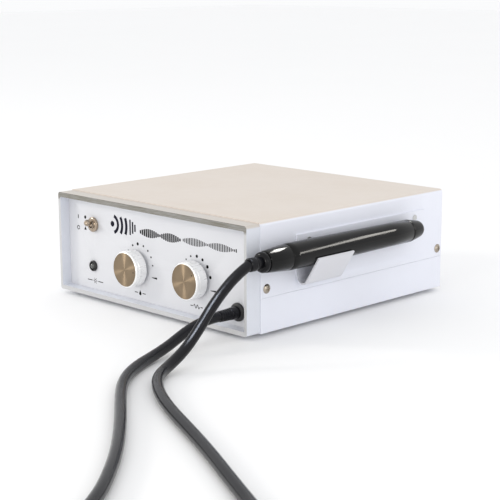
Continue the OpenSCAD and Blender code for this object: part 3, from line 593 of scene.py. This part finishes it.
def hose(material):
    """The hose in one piece: from the gland, round the coil, and up into the handpiece's boot."""
    spacing = 3 * MM
    path = along(GLAND_ROUTE, spacing)[:-1]
    path += along([GLAND_ROUTE[-1]] + coil_turns() + [HANDPIECE_ROUTE[0]], spacing)[:-1]
    path += along(HANDPIECE_ROUTE, spacing)
    boot_low, boot_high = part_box("handpiece_collar")
    path.append(Vector((path[-1].x, boot_low[1] + 0.4 * MM, (boot_low[2] + boot_high[2]) / 2)))
    piece = tube("hose", path, HOSE_DIAMETER / 2, 20, material)
    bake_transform(piece)
    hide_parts("hose_gland_run", "hose_handpiece_run", "hose_coil")


# ---- stage ----

def strip_light(name, place, target, length, size, power, tint, lie=(1, 0, 0), only=()):
    """A rectangle of light, its length as nearly as it can be along that direction.

    Where pieces are named, it shines on them only: a card held close, just for their gloss.
    """
    data = bpy.data.lights.new(name, "AREA")
    data.shape = "RECTANGLE"
    data.size = length
    data.size_y = size
    data.energy = power
    data.color = tint
    lamp = bpy.data.objects.new(name, data)
    bpy.context.scene.collection.objects.link(lamp)
    back = (Vector(place) - Vector(target)).normalized()
    side = Vector(lie)
    side = (side - side.dot(back) * back).normalized()
    turn = Matrix((side, back.cross(side), back)).transposed().to_4x4()
    lamp.matrix_world = Matrix.Translation(place) @ turn
    if only:
        lit = bpy.data.collections.new(name + "_pieces")
        for piece in only:
            lit.objects.link(bpy.data.objects[piece])
        lamp.light_linking.receiver_collection = lit


def studio():
    """Pale floor, even pale surroundings and six lamps."""
    bm = bmesh.new()
    bmesh.ops.create_grid(bm, x_segments=4, y_segments=4, size=6)
    ground = new_object("floor", bm, plain_stage("floor_paper", (0.98, 0.98, 0.98)))
    ground.location.z = -0.0002
    world = bpy.data.worlds.new("studio")
    bpy.context.scene.world = world
    world.use_nodes = True
    back = world.node_tree.nodes["Background"]
    back.inputs["Color"].default_value = (0.985, 0.99, 1.0, 1.0)
    back.inputs["Strength"].default_value = 0.98
    warm = (1.0, 0.96, 0.90)
    # the first two put the streaks on the spun faces, the fill lifts the side,
    # and the rest draw lines on what is black
    strip_light("face_left", (-1.48, -1.22, 0.78), (0, -0.1, 0.03), 0.33, 0.33, 7.8, warm)
    strip_light("face_front", (0.42, -2.03, 0.31), (0.01, -0.1, 0.03), 0.33, 0.33, 6.4, warm)
    strip_light("side_fill", (1.5, -0.35, 0.5), (0.1, 0, 0.03), 0.8, 0.8, 3.0, (1.0, 1.0, 1.0))
    strip_light("barrel_line", (0.82, 0.82, 0.47), (0.11, -0.05, 0.055), 0.8, 0.09, 3.2, warm,
                (-0.20, 0.08, 0.15), ("grip_sheath", "nose_cone"))
    strip_light("cone_line", (-0.03, 0.635, 1.006), (0.112, -0.09, 0.055), 0.5, 0.28, 15.0,
                (1.0, 0.98, 0.95), (-0.067, 0.038, -0.024), ("tail_cone", "nose_cone"))
    strip_light("hose_line", (0.23, -0.50, 1.06), (0.113, -0.15, 0.03), 0.26, 0.7, 16.0,
                (0.80, 0.86, 1.0), (0, 1, 0), ("hose", "hose_boot", "relief_sleeve"))
    bpy.context.scene.view_settings.view_transform = "Standard"


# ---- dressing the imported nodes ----

def dress(material, *names, bevel=0.25, segments=2):
    """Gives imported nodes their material, and breaks their edges by a small round in mm."""
    for name in names:
        node = NODES[name]
        node.data.materials.clear()
        node.data.materials.append(material)
        if bevel:
            weld = node.modifiers.new("weld", "WELD")
            weld.merge_threshold = 0.002 * MM
            flats = node.modifiers.new("flats", "DECIMATE")
            flats.decimate_type = "DISSOLVE"
            flats.angle_limit = math.radians(1)
            round_off = node.modifiers.new("edges", "BEVEL")
            round_off.width = bevel * MM
            round_off.segments = segments
            round_off.limit_method = "ANGLE"
            round_off.angle_limit = math.radians(35)
            round_off.harden_normals = True


def attach(piece, body, slot, *replaced):
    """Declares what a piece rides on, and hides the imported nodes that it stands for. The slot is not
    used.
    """
    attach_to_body(piece, body)
    if replaced:
        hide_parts(*replaced)
    return piece


def middle(name):
    """Centre of a node's box, in millimetres."""
    low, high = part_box(name)
    return (Vector(low) + Vector(high)) / 2 / MM


def ends(name, axis):
    """Both ends of a node's box along that axis, in millimetres."""
    low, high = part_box(name)
    return low[axis] / MM, high[axis] / MM


# ---- knobs ----

KNOB_RADIUS = 13.2
KNOB_MARK_RADIUS = 9.6


def knob(name, side_metal):
    """A dial with a spun face, a groove and a finely fluted band. The face has its own material."""
    centre = middle(name)
    y0, y1 = ends(name, 1)
    r = KNOB_RADIUS
    face = spun_metal(name + "_face", (0.34, 0.26, 0.175), centre.x, centre.z)
    profile = [
        (0, y0), (1.6, y0), (1.75, y0 + 0.12), (1.95, y0 + 0.12), (2.1, y0), (r - 1.3, y0),
        (r - 0.95, y0 + 0.08), (r - 0.35, y0 + 0.5), (r - 0.05, y0 + 1.0), (r - 0.02, y0 + 2.6),
        (r - 0.3, y0 + 2.8), (r - 0.3, y0 + 3.1), (r - 0.02, y0 + 3.3), (r, y0 + 3.4, 0.08),
        (r, y1 - 3.0, 0.08),
        (r - 0.05, y1 - 2.9), (r - 0.05, y1 - 2.3), (r - 0.5, y1 - 2), (9, y1 - 2), (9, y1 - 0.1),
        (8.9, y1), (6.8, y1), (6.8, y1 - 3), (0, y1 - 3),
    ]
    piece = turned(name + "_turned", profile, centre.x, centre.z, side_metal, 144, 24)
    piece.data.materials.append(face)
    for polygon in piece.data.polygons:
        spot = polygon.center
        across = math.hypot(spot.x / MM - centre.x, spot.z / MM - centre.z)
        on_face = spot.y / MM < y0 + 0.2 and across < r - 1.1
        if on_face:
            polygon.material_index = 1
    return attach(piece, name, "knob_metal", name)


def knob_mark(name, angle, paint):
    """The dot drilled near the rim and filled with paint."""
    centre = middle(name)
    y0 = ends(name, 1)[0]
    x = centre.x + KNOB_MARK_RADIUS * math.cos(math.radians(angle))
    z = centre.z + KNOB_MARK_RADIUS * math.sin(math.radians(angle))
    profile = [(0, y0 - 0.02), (0.4, y0 - 0.01), (0.55, y0 + 0.02), (0.55, y0 + 0.2), (0, y0 + 0.2)]
    return attach(turned(name + "_mark", profile, x, z, paint, 32), name, "plastic_black")


# ---- toggle and indicator ----

TOGGLE_TILT = 25
LEVER_LENGTH = 4.4
LEVER_TIP = 2.5
LEVER_BALL = 1.8
LENS_RADIUS = 2.5


def toggle(chrome):
    """The fluted round nut, and the lever: a ball, a waist and a round tip, leaning up at rest."""
    centre = middle("toggle_fixing_nut")
    y0, y1 = ends("toggle_fixing_nut", 1)
    profile = [
        (3.08, y0), (3.9, y0), (4.1, y0 + 0.15), (4.1, y0 + 0.35), (4.8, y0 + 0.45),
        (5.25, y0 + 0.7), (5.4, y0 + 0.8, 0.3), (5.4, y1 - 0.55, 0.3), (5.25, y1 - 0.4), (5.1, y1),
        (3.08, y1),
    ]
    nut = turned("toggle_nut", profile, centre.x, centre.z, chrome, 120, 30, closed=True)
    attach(nut, "case", "chrome", "toggle_fixing_nut")
    profile = [(0, LEVER_BALL)]
    profile += [
        (LEVER_BALL * math.sin(math.radians(a)), LEVER_BALL * math.cos(math.radians(a)))
        for a in range(12, 145, 12)
    ]
    profile += [(1.22, -1.7), (1.45, -2.2), (1.75, -2.7), (2.1, -3.2)]
    profile += [
        (LEVER_TIP * math.sin(math.radians(a)),
         -LEVER_LENGTH - LEVER_TIP * math.cos(math.radians(a)))
        for a in range(118, 0, -12)
    ]
    profile.append((0, -LEVER_LENGTH - LEVER_TIP))
    lever = turned("toggle_bat", profile, 0, 0, chrome, 64, 50)
    joint = next(j for j in frame["record"]["behaviour"]["joints"] if j["name"] == "toggle_throw")
    lean = Matrix.Translation(joint["pos_m"]) @ Matrix.Rotation(
        math.radians(-TOGGLE_TILT), 4, "X")
    lever.data.transform(lean)
    attach(lever, "toggle_lever", "chrome", "toggle_lever")


def indicator(black, lens):
    """The lamp's round holder with a rolled lip, and its domed lens."""
    centre = middle("indicator_holder")
    y0, y1 = ends("indicator_holder", 1)
    panel_y = ends("front_panel", 1)[0]
    r = 4.0
    profile = [
        (2.55, y0 + 1.6), (2.75, y0 + 0.9), (2.85, y0 + 0.3), (3.05, y0 + 0.04), (3.35, y0),
        (3.65, y0 + 0.12), (3.9, y0 + 0.4), (r, y0 + 0.8), (r, panel_y - 0.5),
        (r - 0.12, panel_y - 0.42), (r - 0.12, panel_y - 0.3), (r, panel_y - 0.22),
        (r, panel_y - 0.05), (3.0, panel_y - 0.05), (3.0, y1), (2.55, y1),
    ]
    ring = turned("indicator_ring", profile, centre.x, centre.z, black, 96, 40, closed=True)
    attach(ring, "case", "plastic_black", "indicator_holder")
    y0, y1 = ends("indicator_lens", 1)
    dome = [
        (LENS_RADIUS * math.sin(math.radians(a)), y0 + LENS_RADIUS * (1 - math.cos(math.radians(a))))
        for a in range(0, 90, 9)
    ]
    dome += [(LENS_RADIUS, y0 + LENS_RADIUS), (LENS_RADIUS, y1), (0, y1)]
    glass = turned("indicator_dome", dome, centre.x, centre.z, lens, 72, 60)
    attach(glass, "case", "lens_smoke", "indicator_lens")


# ---- panel print ----

PRINT_DEEP = 0.01
PRINT_PROUD = 0.07
DASH = 0.6
DOT_RING = 14.6


class Print:
    """Flat marks on the panel, drawn in its X and Z in millimetres and made into one thin piece."""

    def __init__(self):
        self.bm = bmesh.new()
        self.y = ends("front_panel", 1)[0]

    def outline(self, points):
        back = [self.bm.verts.new((x * MM, (self.y - PRINT_DEEP) * MM, z * MM)) for x, z in points]
        face = [self.bm.verts.new((x * MM, (self.y - PRINT_PROUD) * MM, z * MM)) for x, z in points]
        self.bm.faces.new(face)
        self.bm.faces.new(list(reversed(back)))
        count = len(points)
        for i in range(count):
            n = (i + 1) % count
            self.bm.faces.new((face[i], back[i], back[n], face[n]))

    def dot(self, x, z, radius, sides=28):
        self.outline([
            (x + radius * math.cos(math.tau * k / sides), z + radius * math.sin(math.tau * k / sides))
            for k in range(sides)
        ])

    def bar(self, x0, x1, z0, z1):
        self.outline([(x0, z0), (x1, z0), (x1, z1), (x0, z1)])

    def stroke(self, points, width):
        """A line of even width through the points."""
        left = []
        right = []
        for i, (x, z) in enumerate(points):
            x0, z0 = points[max(i - 1, 0)]
            x1, z1 = points[min(i + 1, len(points) - 1)]
            size = math.hypot(x1 - x0, z1 - z0)
            nx = -(z1 - z0) / size * width / 2
            nz = (x1 - x0) / size * width / 2
            left.append((x + nx, z + nz))
            right.append((x - nx, z - nz))
        self.outline(left + right[::-1])

    def arc(self, x, z, radius, start, stop, width, steps=24):
        self.stroke([
            (x + radius * math.cos(math.radians(start + (stop - start) * k / steps)),
             z + radius * math.sin(math.radians(start + (stop - start) * k / steps)))
            for k in range(steps + 1)
        ], width)

    def finish(self, name, paint, slot):
        bmesh.ops.recalc_face_normals(self.bm, faces=self.bm.faces)
        return attach(new_object(name, self.bm, paint), "case", slot)


def emblem(paint):
    """A dot with sound waves, which fade to bars. Each wave reaches as far up and down."""
    blue = Print()
    x0, z0 = -46.6, 58.9
    reach = 6.0
    blue.dot(x0, z0, 2.1)
    for radius, width in ((6.3, 2.4), (11.0, 2.5), (15.8, 2.6)):
        spread = math.degrees(math.asin(reach / radius))
        blue.arc(x0, z0, radius, -spread, spread, width)
    for x, half in ((-26.6, 5.6), (-23.8, 4.3), (-21.2, 2.6)):
        blue.bar(x - 0.75, x + 0.75, z0 - half, z0 + half)
    blue.finish("panel_mark", paint, "plastic_black")


def control_marks(paint):
    """A burst of vibration, and the small signs and dots at the controls."""
    dark = Print()
    # the burst, bold at first and finer after
    for i in range(21):
        x = -15.0 + i * 2.1
        half = 0.7 + 2.4 * abs(math.sin(math.radians(17 * i + 14)))
        dark.bar(x - 0.75, x + 0.75, 57.2 - half, 57.2 + half)
    for i in range(33):
        x = 30.4 + i * 1.64
        half = 0.6 + 2.1 * abs(math.sin(math.radians(11.5 * i + 10)))
        dark.bar(x - 0.42, x + 0.42, 57.6 - half, 57.6 + half)
    # on and off
    dark.dot(-78.6, 59.8, 1.25)
    dark.outline([(-80.1, 50.2), (-77.3, 50.2), (-78.7, 52.8)])
    dark.bar(-87.4, -86.6, 57.9, 60.8)
    dark.arc(-87.1, 51.0, 1.35, 0, 350, 0.6)
    # lamp sign with rays, between two dashes
    x, z = -68.4, 12.7
    dark.arc(x, z, 1.0, 0, 350, 0.45)
    for a in range(0, 360, 60):
        c = math.cos(math.radians(a))
        s = math.sin(math.radians(a))
        dark.stroke([(x + 1.6 * c, z + 1.6 * s), (x + 2.3 * c, z + 2.3 * s)], 0.4)
    for x0, x1 in ((-77.5, -71.9), (-64.9, -59.3)):
        dark.bar(x0, x1, 12.4, 12.4 + DASH)
    # drop, between two dashes
    x, z, r = -16.7, 11.6, 1.25
    dark.outline([(x, z + 2.7)] + [
        (x + r * math.cos(math.radians(a)), z + r * math.sin(math.radians(a)))
        for a in range(30, -211, -20)
    ])
    for x0, x1 in ((-22.7, -19.3), (-14.1, -10.7)):
        dark.bar(x0, x1, 11.8, 11.8 + DASH)
    # wave, between two dashes
    dark.stroke(
        [(40.3 + 0.25 * k, 12.6 + 1.3 * math.sin(math.tau * k / 12)) for k in range(25)], 0.5)
    for x0, x1 in ((37.0, 39.4), (47.2, 49.6)):
        dark.bar(x0, x1, 12.3, 12.3 + DASH)
    water_dots = ((146, 0.7), (119, 0.75), (96, 1.15), (71, 0.75), (49, 0.75), (28, 0.7), (4, 0.6))
    power_dots = ((132, 0.6), (110, 0.7), (85.5, 1.1), (62, 1.05), (37, 1.25), (7, 1.15))
    for centre_x, centre_z, dots in ((-17.0, 33.4, water_dots), (42.9, 33.65, power_dots)):
        for angle, radius in dots:
            x = centre_x + DOT_RING * math.cos(math.radians(angle))
            z = centre_z + DOT_RING * math.sin(math.radians(angle))
            dark.dot(x, z, radius)
    # a wedge that grows, for the fullest setting
    for x, z in ((-3.6, 25.1), (57.4, 25.8)):
        dark.outline([(x, z + 0.3), (x + 5.6, z - 0.2), (x + 5.6, z + 1.2), (x, z + 0.6)])
    dark.finish("panel_marks", paint, "plastic_black")


# ---- handpiece ----

def handpiece(shiny, soft):
    """Ribbed boot, ring, tail cone, barrel and nose, each turned about the handpiece's line."""
    centre = middle("handpiece_sheath")
    x = centre.x
    z = centre.z
    c0, c1 = ends("handpiece_collar", 1)
    boot = [
        (2.4, c0 + 0.4), (3.3, c0), (3.9, c0 + 0.05), (4.45, c0 + 0.5), (4.6, c0 + 1.0),
        (4.6, c0 + 1.7), (4.35, c0 + 1.9), (4.35, c0 + 2.3), (4.6, c0 + 2.5), (4.6, c0 + 3.2),
        (4.35, c0 + 3.4), (4.35, c0 + 3.8), (4.6, c0 + 4.0), (4.6, c0 + 5.1), (4.1, c0 + 6.0),
        (4.0, c0 + 6.4), (4.0, c1), (2.4, c1),
    ]
    attach(turned("hose_boot", boot, x, z, soft, 96, 40, closed=True),
           "handpiece", "rubber_black", "handpiece_collar")
    r0, r1 = ends("handpiece_rear_ring", 1)
    ring = [
        (2.4, r0), (4.3, r0), (5.2, r0 + 0.1), (6.0, r0 + 0.5), (6.6, r0 + 1.1), (6.9, r0 + 1.8),
        (7.0, r0 + 2.5), (6.95, r0 + 3.3), (6.75, r0 + 3.9), (6.6, r0 + 4.1), (6.5, r1), (2.4, r1),
    ]
    attach(turned("tail_ring", ring, x, z, soft, 128, 50, closed=True),
           "handpiece", "handpiece_black", "handpiece_rear_ring")
    t0, t1 = ends("handpiece_tail_cone", 1)
    cone = [
        (5.4, t0), (6.9, t0), (7.2, t0 + 0.15), (7.32, t0 + 0.5), (8.94, t1 - 0.45),
        (8.88, t1 - 0.2), (8.7, t1 - 0.05), (6.2, t1), (6.2, t1 - 8),
    ]
    attach(turned("tail_cone", cone, x, z, shiny, 160, 50, closed=True),
           "handpiece", "handpiece_black", "handpiece_tail_cone")
    s0, s1 = ends("handpiece_sheath", 1)
    sheath = [
        (6.2, s0), (8.72, s0 + 0.02), (9.0, s0 + 0.35), (9.06, s0 + 6), (9.1, s0 + 18),
        (9.06, s0 + 34), (8.95, s0 + 48), (8.75, s0 + 70), (8.55, s0 + 88), (8.4, s0 + 105),
        (8.32, s1 - 0.5), (8.1, s1 - 0.05), (6.2, s1),
    ]
    attach(turned("grip_sheath", sheath, x, z, shiny, 160, 50, closed=True),
           "handpiece", "handpiece_black", "handpiece_sheath")
    n0, n1 = ends("handpiece_nose", 1)
    nose = [
        (4.2, n0 + 0.02), (8.1, n0 + 0.02), (8.28, n0 + 0.25), (8.2, n0 + 1.5), (7.7, n0 + 5),
        (7.0, n0 + 9), (6.4, n0 + 12), (6.15, n0 + 12.9), (5.85, n0 + 13.6), (5.3, n1 - 0.4),
        (4.8, n1 - 0.08), (4.5, n1), (4.2, n1 - 0.3),
    ]
    attach(turned("nose_cone", nose, x, z, shiny, 160, 50, closed=True),
           "handpiece", "handpiece_black", "handpiece_nose")


def gland(black, soft):
    """The flange on the panel, and the tapered sleeve with five ribs that eases the hose's bend."""
    centre = middle("hose_gland")
    g0, g1 = ends("hose_gland", 1)
    panel_y = ends("front_panel", 1)[0]
    flange = [
        (2.6, g0), (4.5, g0), (5.4, g0 + 0.1), (6.0, g0 + 0.4), (6.3, g0 + 0.9),
        (6.4, g0 + 1.4), (6.4, panel_y - 0.25), (6.25, panel_y - 0.05), (4.9, panel_y - 0.05),
        (4.9, g1), (2.6, g1),
    ]
    attach(turned("gland_flange", flange, centre.x, centre.z, black, 96, 40, closed=True),
           "case", "plastic_black", "hose_gland")
    y0, y1 = ends("hose_strain_relief", 1)
    sleeve = [(2.4, y0 + 0.3), (3.3, y0), (3.6, y0 + 0.05), (3.75, y0 + 0.4)]
    for i in range(5):
        y = y0 + 1.4 + 1.9 * i
        r = 3.8 + 0.075 * i
        sleeve += [(r, y), (r - 0.25, y + 0.25), (r - 0.25, y + 0.6), (r, y + 0.85)]
    sleeve += [(4.25, y1 - 4.5), (4.38, y1 - 0.5), (4.38, y1), (2.4, y1)]
    attach(turned("relief_sleeve", sleeve, centre.x, centre.z, soft, 72, 40, closed=True),
           "case", "rubber_black", "hose_strain_relief")


# ---- tie round the coil ----

TIE_WIDTH = 12
TIE_GAP = 1.25


def tie(cloth):
    """Hook-and-loop tape in one closed loop round all the turns."""
    low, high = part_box("coil_tie")
    centre = Vector((COIL_CENTRE.x, COIL_CENTRE.y, 0))
    reach = max(Vector((c[0], c[1], 0)).length for c in (
        Vector((high[0], low[1], 0)) - centre, Vector((low[0], high[1], 0)) - centre))
    z0 = low[2] / MM
    z1 = high[2] / MM
    half = TIE_WIDTH / 2
    hole = (COIL_INNER - HOSE_DIAMETER / 2) / MM
    x1 = math.sqrt((reach / MM) ** 2 - half ** 2)
    x0 = math.sqrt(hole ** 2 - half ** 2) - TIE_GAP
    corner = 4.3
    loop = []
    for cx, cz, start in (
        (x1 - corner, z1 - corner, 0), (x0 + corner, z1 - corner, 90),
        (x0 + corner, z0 + corner, 180), (x1 - corner, z0 + corner, 270),
    ):
        for k in range(9):
            a = math.radians(start + 90 * k / 8)
            loop.append((cx, cz, math.cos(a), math.sin(a)))
    turn = Matrix.Translation(centre) @ Matrix.Rotation(math.radians(-45), 4, "Z")
    bm = bmesh.new()
    rows = []
    across = [-half, 0.4 - half, -half / 2, 0, half / 2, half - 0.4, half]
    for depth in (0.02, 0.78):
        row = []
        for cx, cz, dx, dz in loop:
            line = []
            for w in across:
                edge = 0.12 if abs(w) > half - 0.2 else 0
                out = corner - depth + (edge if depth > 0.5 else -edge)
                point = turn @ Vector(((cx + dx * out) * MM, w * MM, (cz + dz * out) * MM))
                line.append(bm.verts.new(point))
            row.append(line)
        rows.append(row)
    count = len(loop)
    width = len(across)
    outer, inner = rows
    for i in range(count):
        n = (i + 1) % count
        for w in range(width - 1):
            bm.faces.new((outer[i][w], outer[n][w], outer[n][w + 1], outer[i][w + 1]))
            bm.faces.new((inner[i][w], inner[i][w + 1], inner[n][w + 1], inner[n][w]))
        bm.faces.new((outer[i][0], inner[i][0], inner[n][0], outer[n][0]))
        bm.faces.new((outer[i][-1], outer[n][-1], inner[n][-1], inner[i][-1]))
    bmesh.ops.recalc_face_normals(bm, faces=bm.faces)
    strap = new_object("tie_strap", bm, cloth)
    smooth_by_angle(strap.data, 40)
    return attach(strap, "case", "tie_grey", "coil_tie")


# ---- rear ----

def barb(brass):
    """The water inlet: a flange on the rear panel and three barbs behind it."""
    centre = middle("water_inlet_barb")
    y0, y1 = ends("water_inlet_barb", 1)
    panel_y = ends("rear_panel", 1)[1]
    profile = [
        (1.6, y0), (3.8, y0), (4.0, y0 + 0.3), (4.0, panel_y + 0.05), (5.3, panel_y + 0.05),
        (5.5, panel_y + 0.3), (5.5, panel_y + 3.7), (5.2, panel_y + 4), (2.9, panel_y + 4),
    ]
    for i in range(3):
        y = panel_y + 5.2 + 3.9 * i
        profile += [(2.8, y), (3.2, y + 0.3), (3.2, y + 0.7), (2.7, y + 3.5)]
    profile += [(2.4, y1 - 0.3), (2.1, y1), (1.6, y1)]
    attach(turned("inlet_barb", profile, centre.x, centre.z, brass, 72, 30, closed=True),
           "case", "brass", "water_inlet_barb")


def fuse_knob(black):
    """The fuse holder's cap: a fluted grip with a sunk end, hollow inside for the cartridge."""
    centre = middle("fuse_cap")
    y0, y1 = ends("fuse_cap", 1)
    profile = [
        (2.75, y0), (4.5, y0), (4.5, y1 - 3.5), (6.3, y1 - 3.5), (6.5, y1 - 3.3, 0.35),
        (6.5, y1 - 0.8, 0.35), (6.1, y1 - 0.15), (5.7, y1), (4.6, y1), (4.4, y1 - 0.15),
        (4.2, y1 - 1.1), (0, y1 - 1.15), (0, y0 + 5), (2.75, y0 + 5),
    ]
    cap = turned("fuse_grip", profile, centre.x, centre.z, black, 96, 30)
    attach(cap, "fuse_cap", "plastic_black", "fuse_cap")


# ---- making ----

camera()
soft_black = rubber("hose_rubber", (0.004, 0.004, 0.005))
strap = tie(webbing("tie_webbing", (0.035, 0.035, 0.04)))
hose(soft_black)

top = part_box("top_cover")[1][2]
white = srgb(230, 232, 241)
# painted light: the top 1.2 mm of the cover, its top face, takes a warm cream as if lit from above
paint = powder_coat("white_coat", white, srgb(218, 208, 198), 2, top - 1.2 * MM, top - 0.4 * MM)
side_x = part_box("top_cover")[1][0]
# painted shade: the holder's part standing more than 3 to 6 mm out from the side takes a cooler, darker
# grey
holder_paint = powder_coat("holder_coat", white, srgb(212, 213, 219), 0, side_x + 3 * MM, side_x + 6 * MM)
front_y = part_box("front_bezel")[0][1]
panel_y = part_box("front_panel")[0][1]
# painted light: the third colour is the warm tone on the bezel's top face
bezel = bezel_finish("bezel_lacquer", srgb(221, 224, 232), srgb(200, 191, 180), srgb(108, 104, 91),
                     srgb(190, 190, 190), front_y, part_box("front_bezel")[1][2])
black_moulded = moulded("black_moulded", (0.012, 0.012, 0.013), 0.38)
zinc = bare_metal("zinc_plate", (0.62, 0.62, 0.62), 0.34)
chrome = bare_metal("warm_chrome", (0.44, 0.36, 0.28), 0.20, grain=(1, 1, 1), wear=0.8)
knob_side = bare_metal("knob_side_metal", (0.96, 0.96, 0.955), 0.32, grain=(1, 0.05, 1), wear=0.98,
                       depth=0.002 * MM, metallic=0.45)
brass = bare_metal("machined_brass", (0.70, 0.52, 0.25), 0.28)
handpiece_gloss = gloss("handpiece_gloss", (0.004, 0.004, 0.004))
print_black = ink("print_black", (0.002, 0.002, 0.003))

dress(paint, "top_cover", bevel=0)
dress(paint, "bottom_chassis", "rear_panel", bevel=0.2)
dress(holder_paint, "handpiece_holder", bevel=0.2)
dress(bezel, "front_bezel", bevel=0.7, segments=4)
dress(printed_panel("panel_film", srgb(211, 212, 216)), "front_panel", bevel=0.1)
dress(moulded("foot_rubber_grain", (0.02, 0.02, 0.02), 0.7), "rubber_feet", bevel=0.3)
dress(bare_metal("screw_metal", (0.46, 0.40, 0.33), 0.30, grain=(1, 1, 1)), "cover_screws", bevel=0.1)
dress(zinc, "foot_screws", "bezel_screws", "mains_inlet_screws", "holder_rivets", "power_shaft",
      "solenoid_plunger", "water_valve_nut", "power_control_nut", bevel=0.12)
dress(bare_metal("black_oxide", (0.08, 0.08, 0.085), 0.42), "water_knob_setscrew",
      "power_knob_setscrew", bevel=0)
dress(black_moulded, "hose_gland_nut", "mains_inlet", "fuse_holder", "foot_control_jack")
dress(brass, "water_valve_stem", "water_valve_body", "water_inlet_nut", "mains_inlet_pins",
      "board_standoffs", bevel=0.15)
dress(switch_body("switch_blue_plastic", (0.03, 0.09, 0.28), (0.42, 0.35, 0.28), panel_y),
      "toggle_switch_body", bevel=0.2)
dress(bare_metal("plated_can", (0.42, 0.42, 0.43), 0.38), "power_potentiometer", "solenoid_valve",
      bevel=0.3)
dress(wound("magnet_wire", (0.42, 0.16, 0.06), 0.5 * MM, "Y", 0.7), "handpiece_coil", bevel=0.2)
dress(rubber("seal_red", (0.22, 0.03, 0.02)), "insert_o_ring", bevel=0)
milky = moulded("milky_tube", (0.66, 0.64, 0.57), 0.35, wear=1.1)
dress(milky, "water_tubes", "handpiece_water_tube", bevel=0)
dress(clear_glass("fuse_tube_glass"), "fuse_cartridge", bevel=0.2)
dress(laminations("core_stack", (0.30, 0.29, 0.28)), "transformer_core", bevel=0.3)
dress(wound("winding_tape_layers", (0.55, 0.38, 0.12), 3 * MM), "transformer_winding", bevel=1)
dress(circuit("solder_mask", (0.01, 0.09, 0.035)), "circuit_board", bevel=0.1)
dress(bare_metal("extruded_aluminium", (0.60, 0.61, 0.63), 0.36, grain=(1, 0.05, 1)), "heatsink",
      bevel=0.2)
dress(moulded("package_epoxy", (0.02, 0.02, 0.021), 0.5), "power_transistors", bevel=0.2)
dress(wound("shrink_sleeve", (0.02, 0.05, 0.18), 9 * MM, "X"), "capacitors", bevel=0.4)

knob("water_knob", knob_side)
knob("power_knob", knob_side)
knob_mark("water_knob", -4, print_black)
knob_mark("power_knob", 34, print_black)
toggle(chrome)
indicator(black_moulded, dark_lens("smoked_lens", (0.03, 0.032, 0.03)))
emblem(ink("print_navy", (0.002, 0.002, 0.012)))
control_marks(print_black)
handpiece(handpiece_gloss, soft_black)
gland(black_moulded, soft_black)
barb(brass)
fuse_knob(black_moulded)
studio()
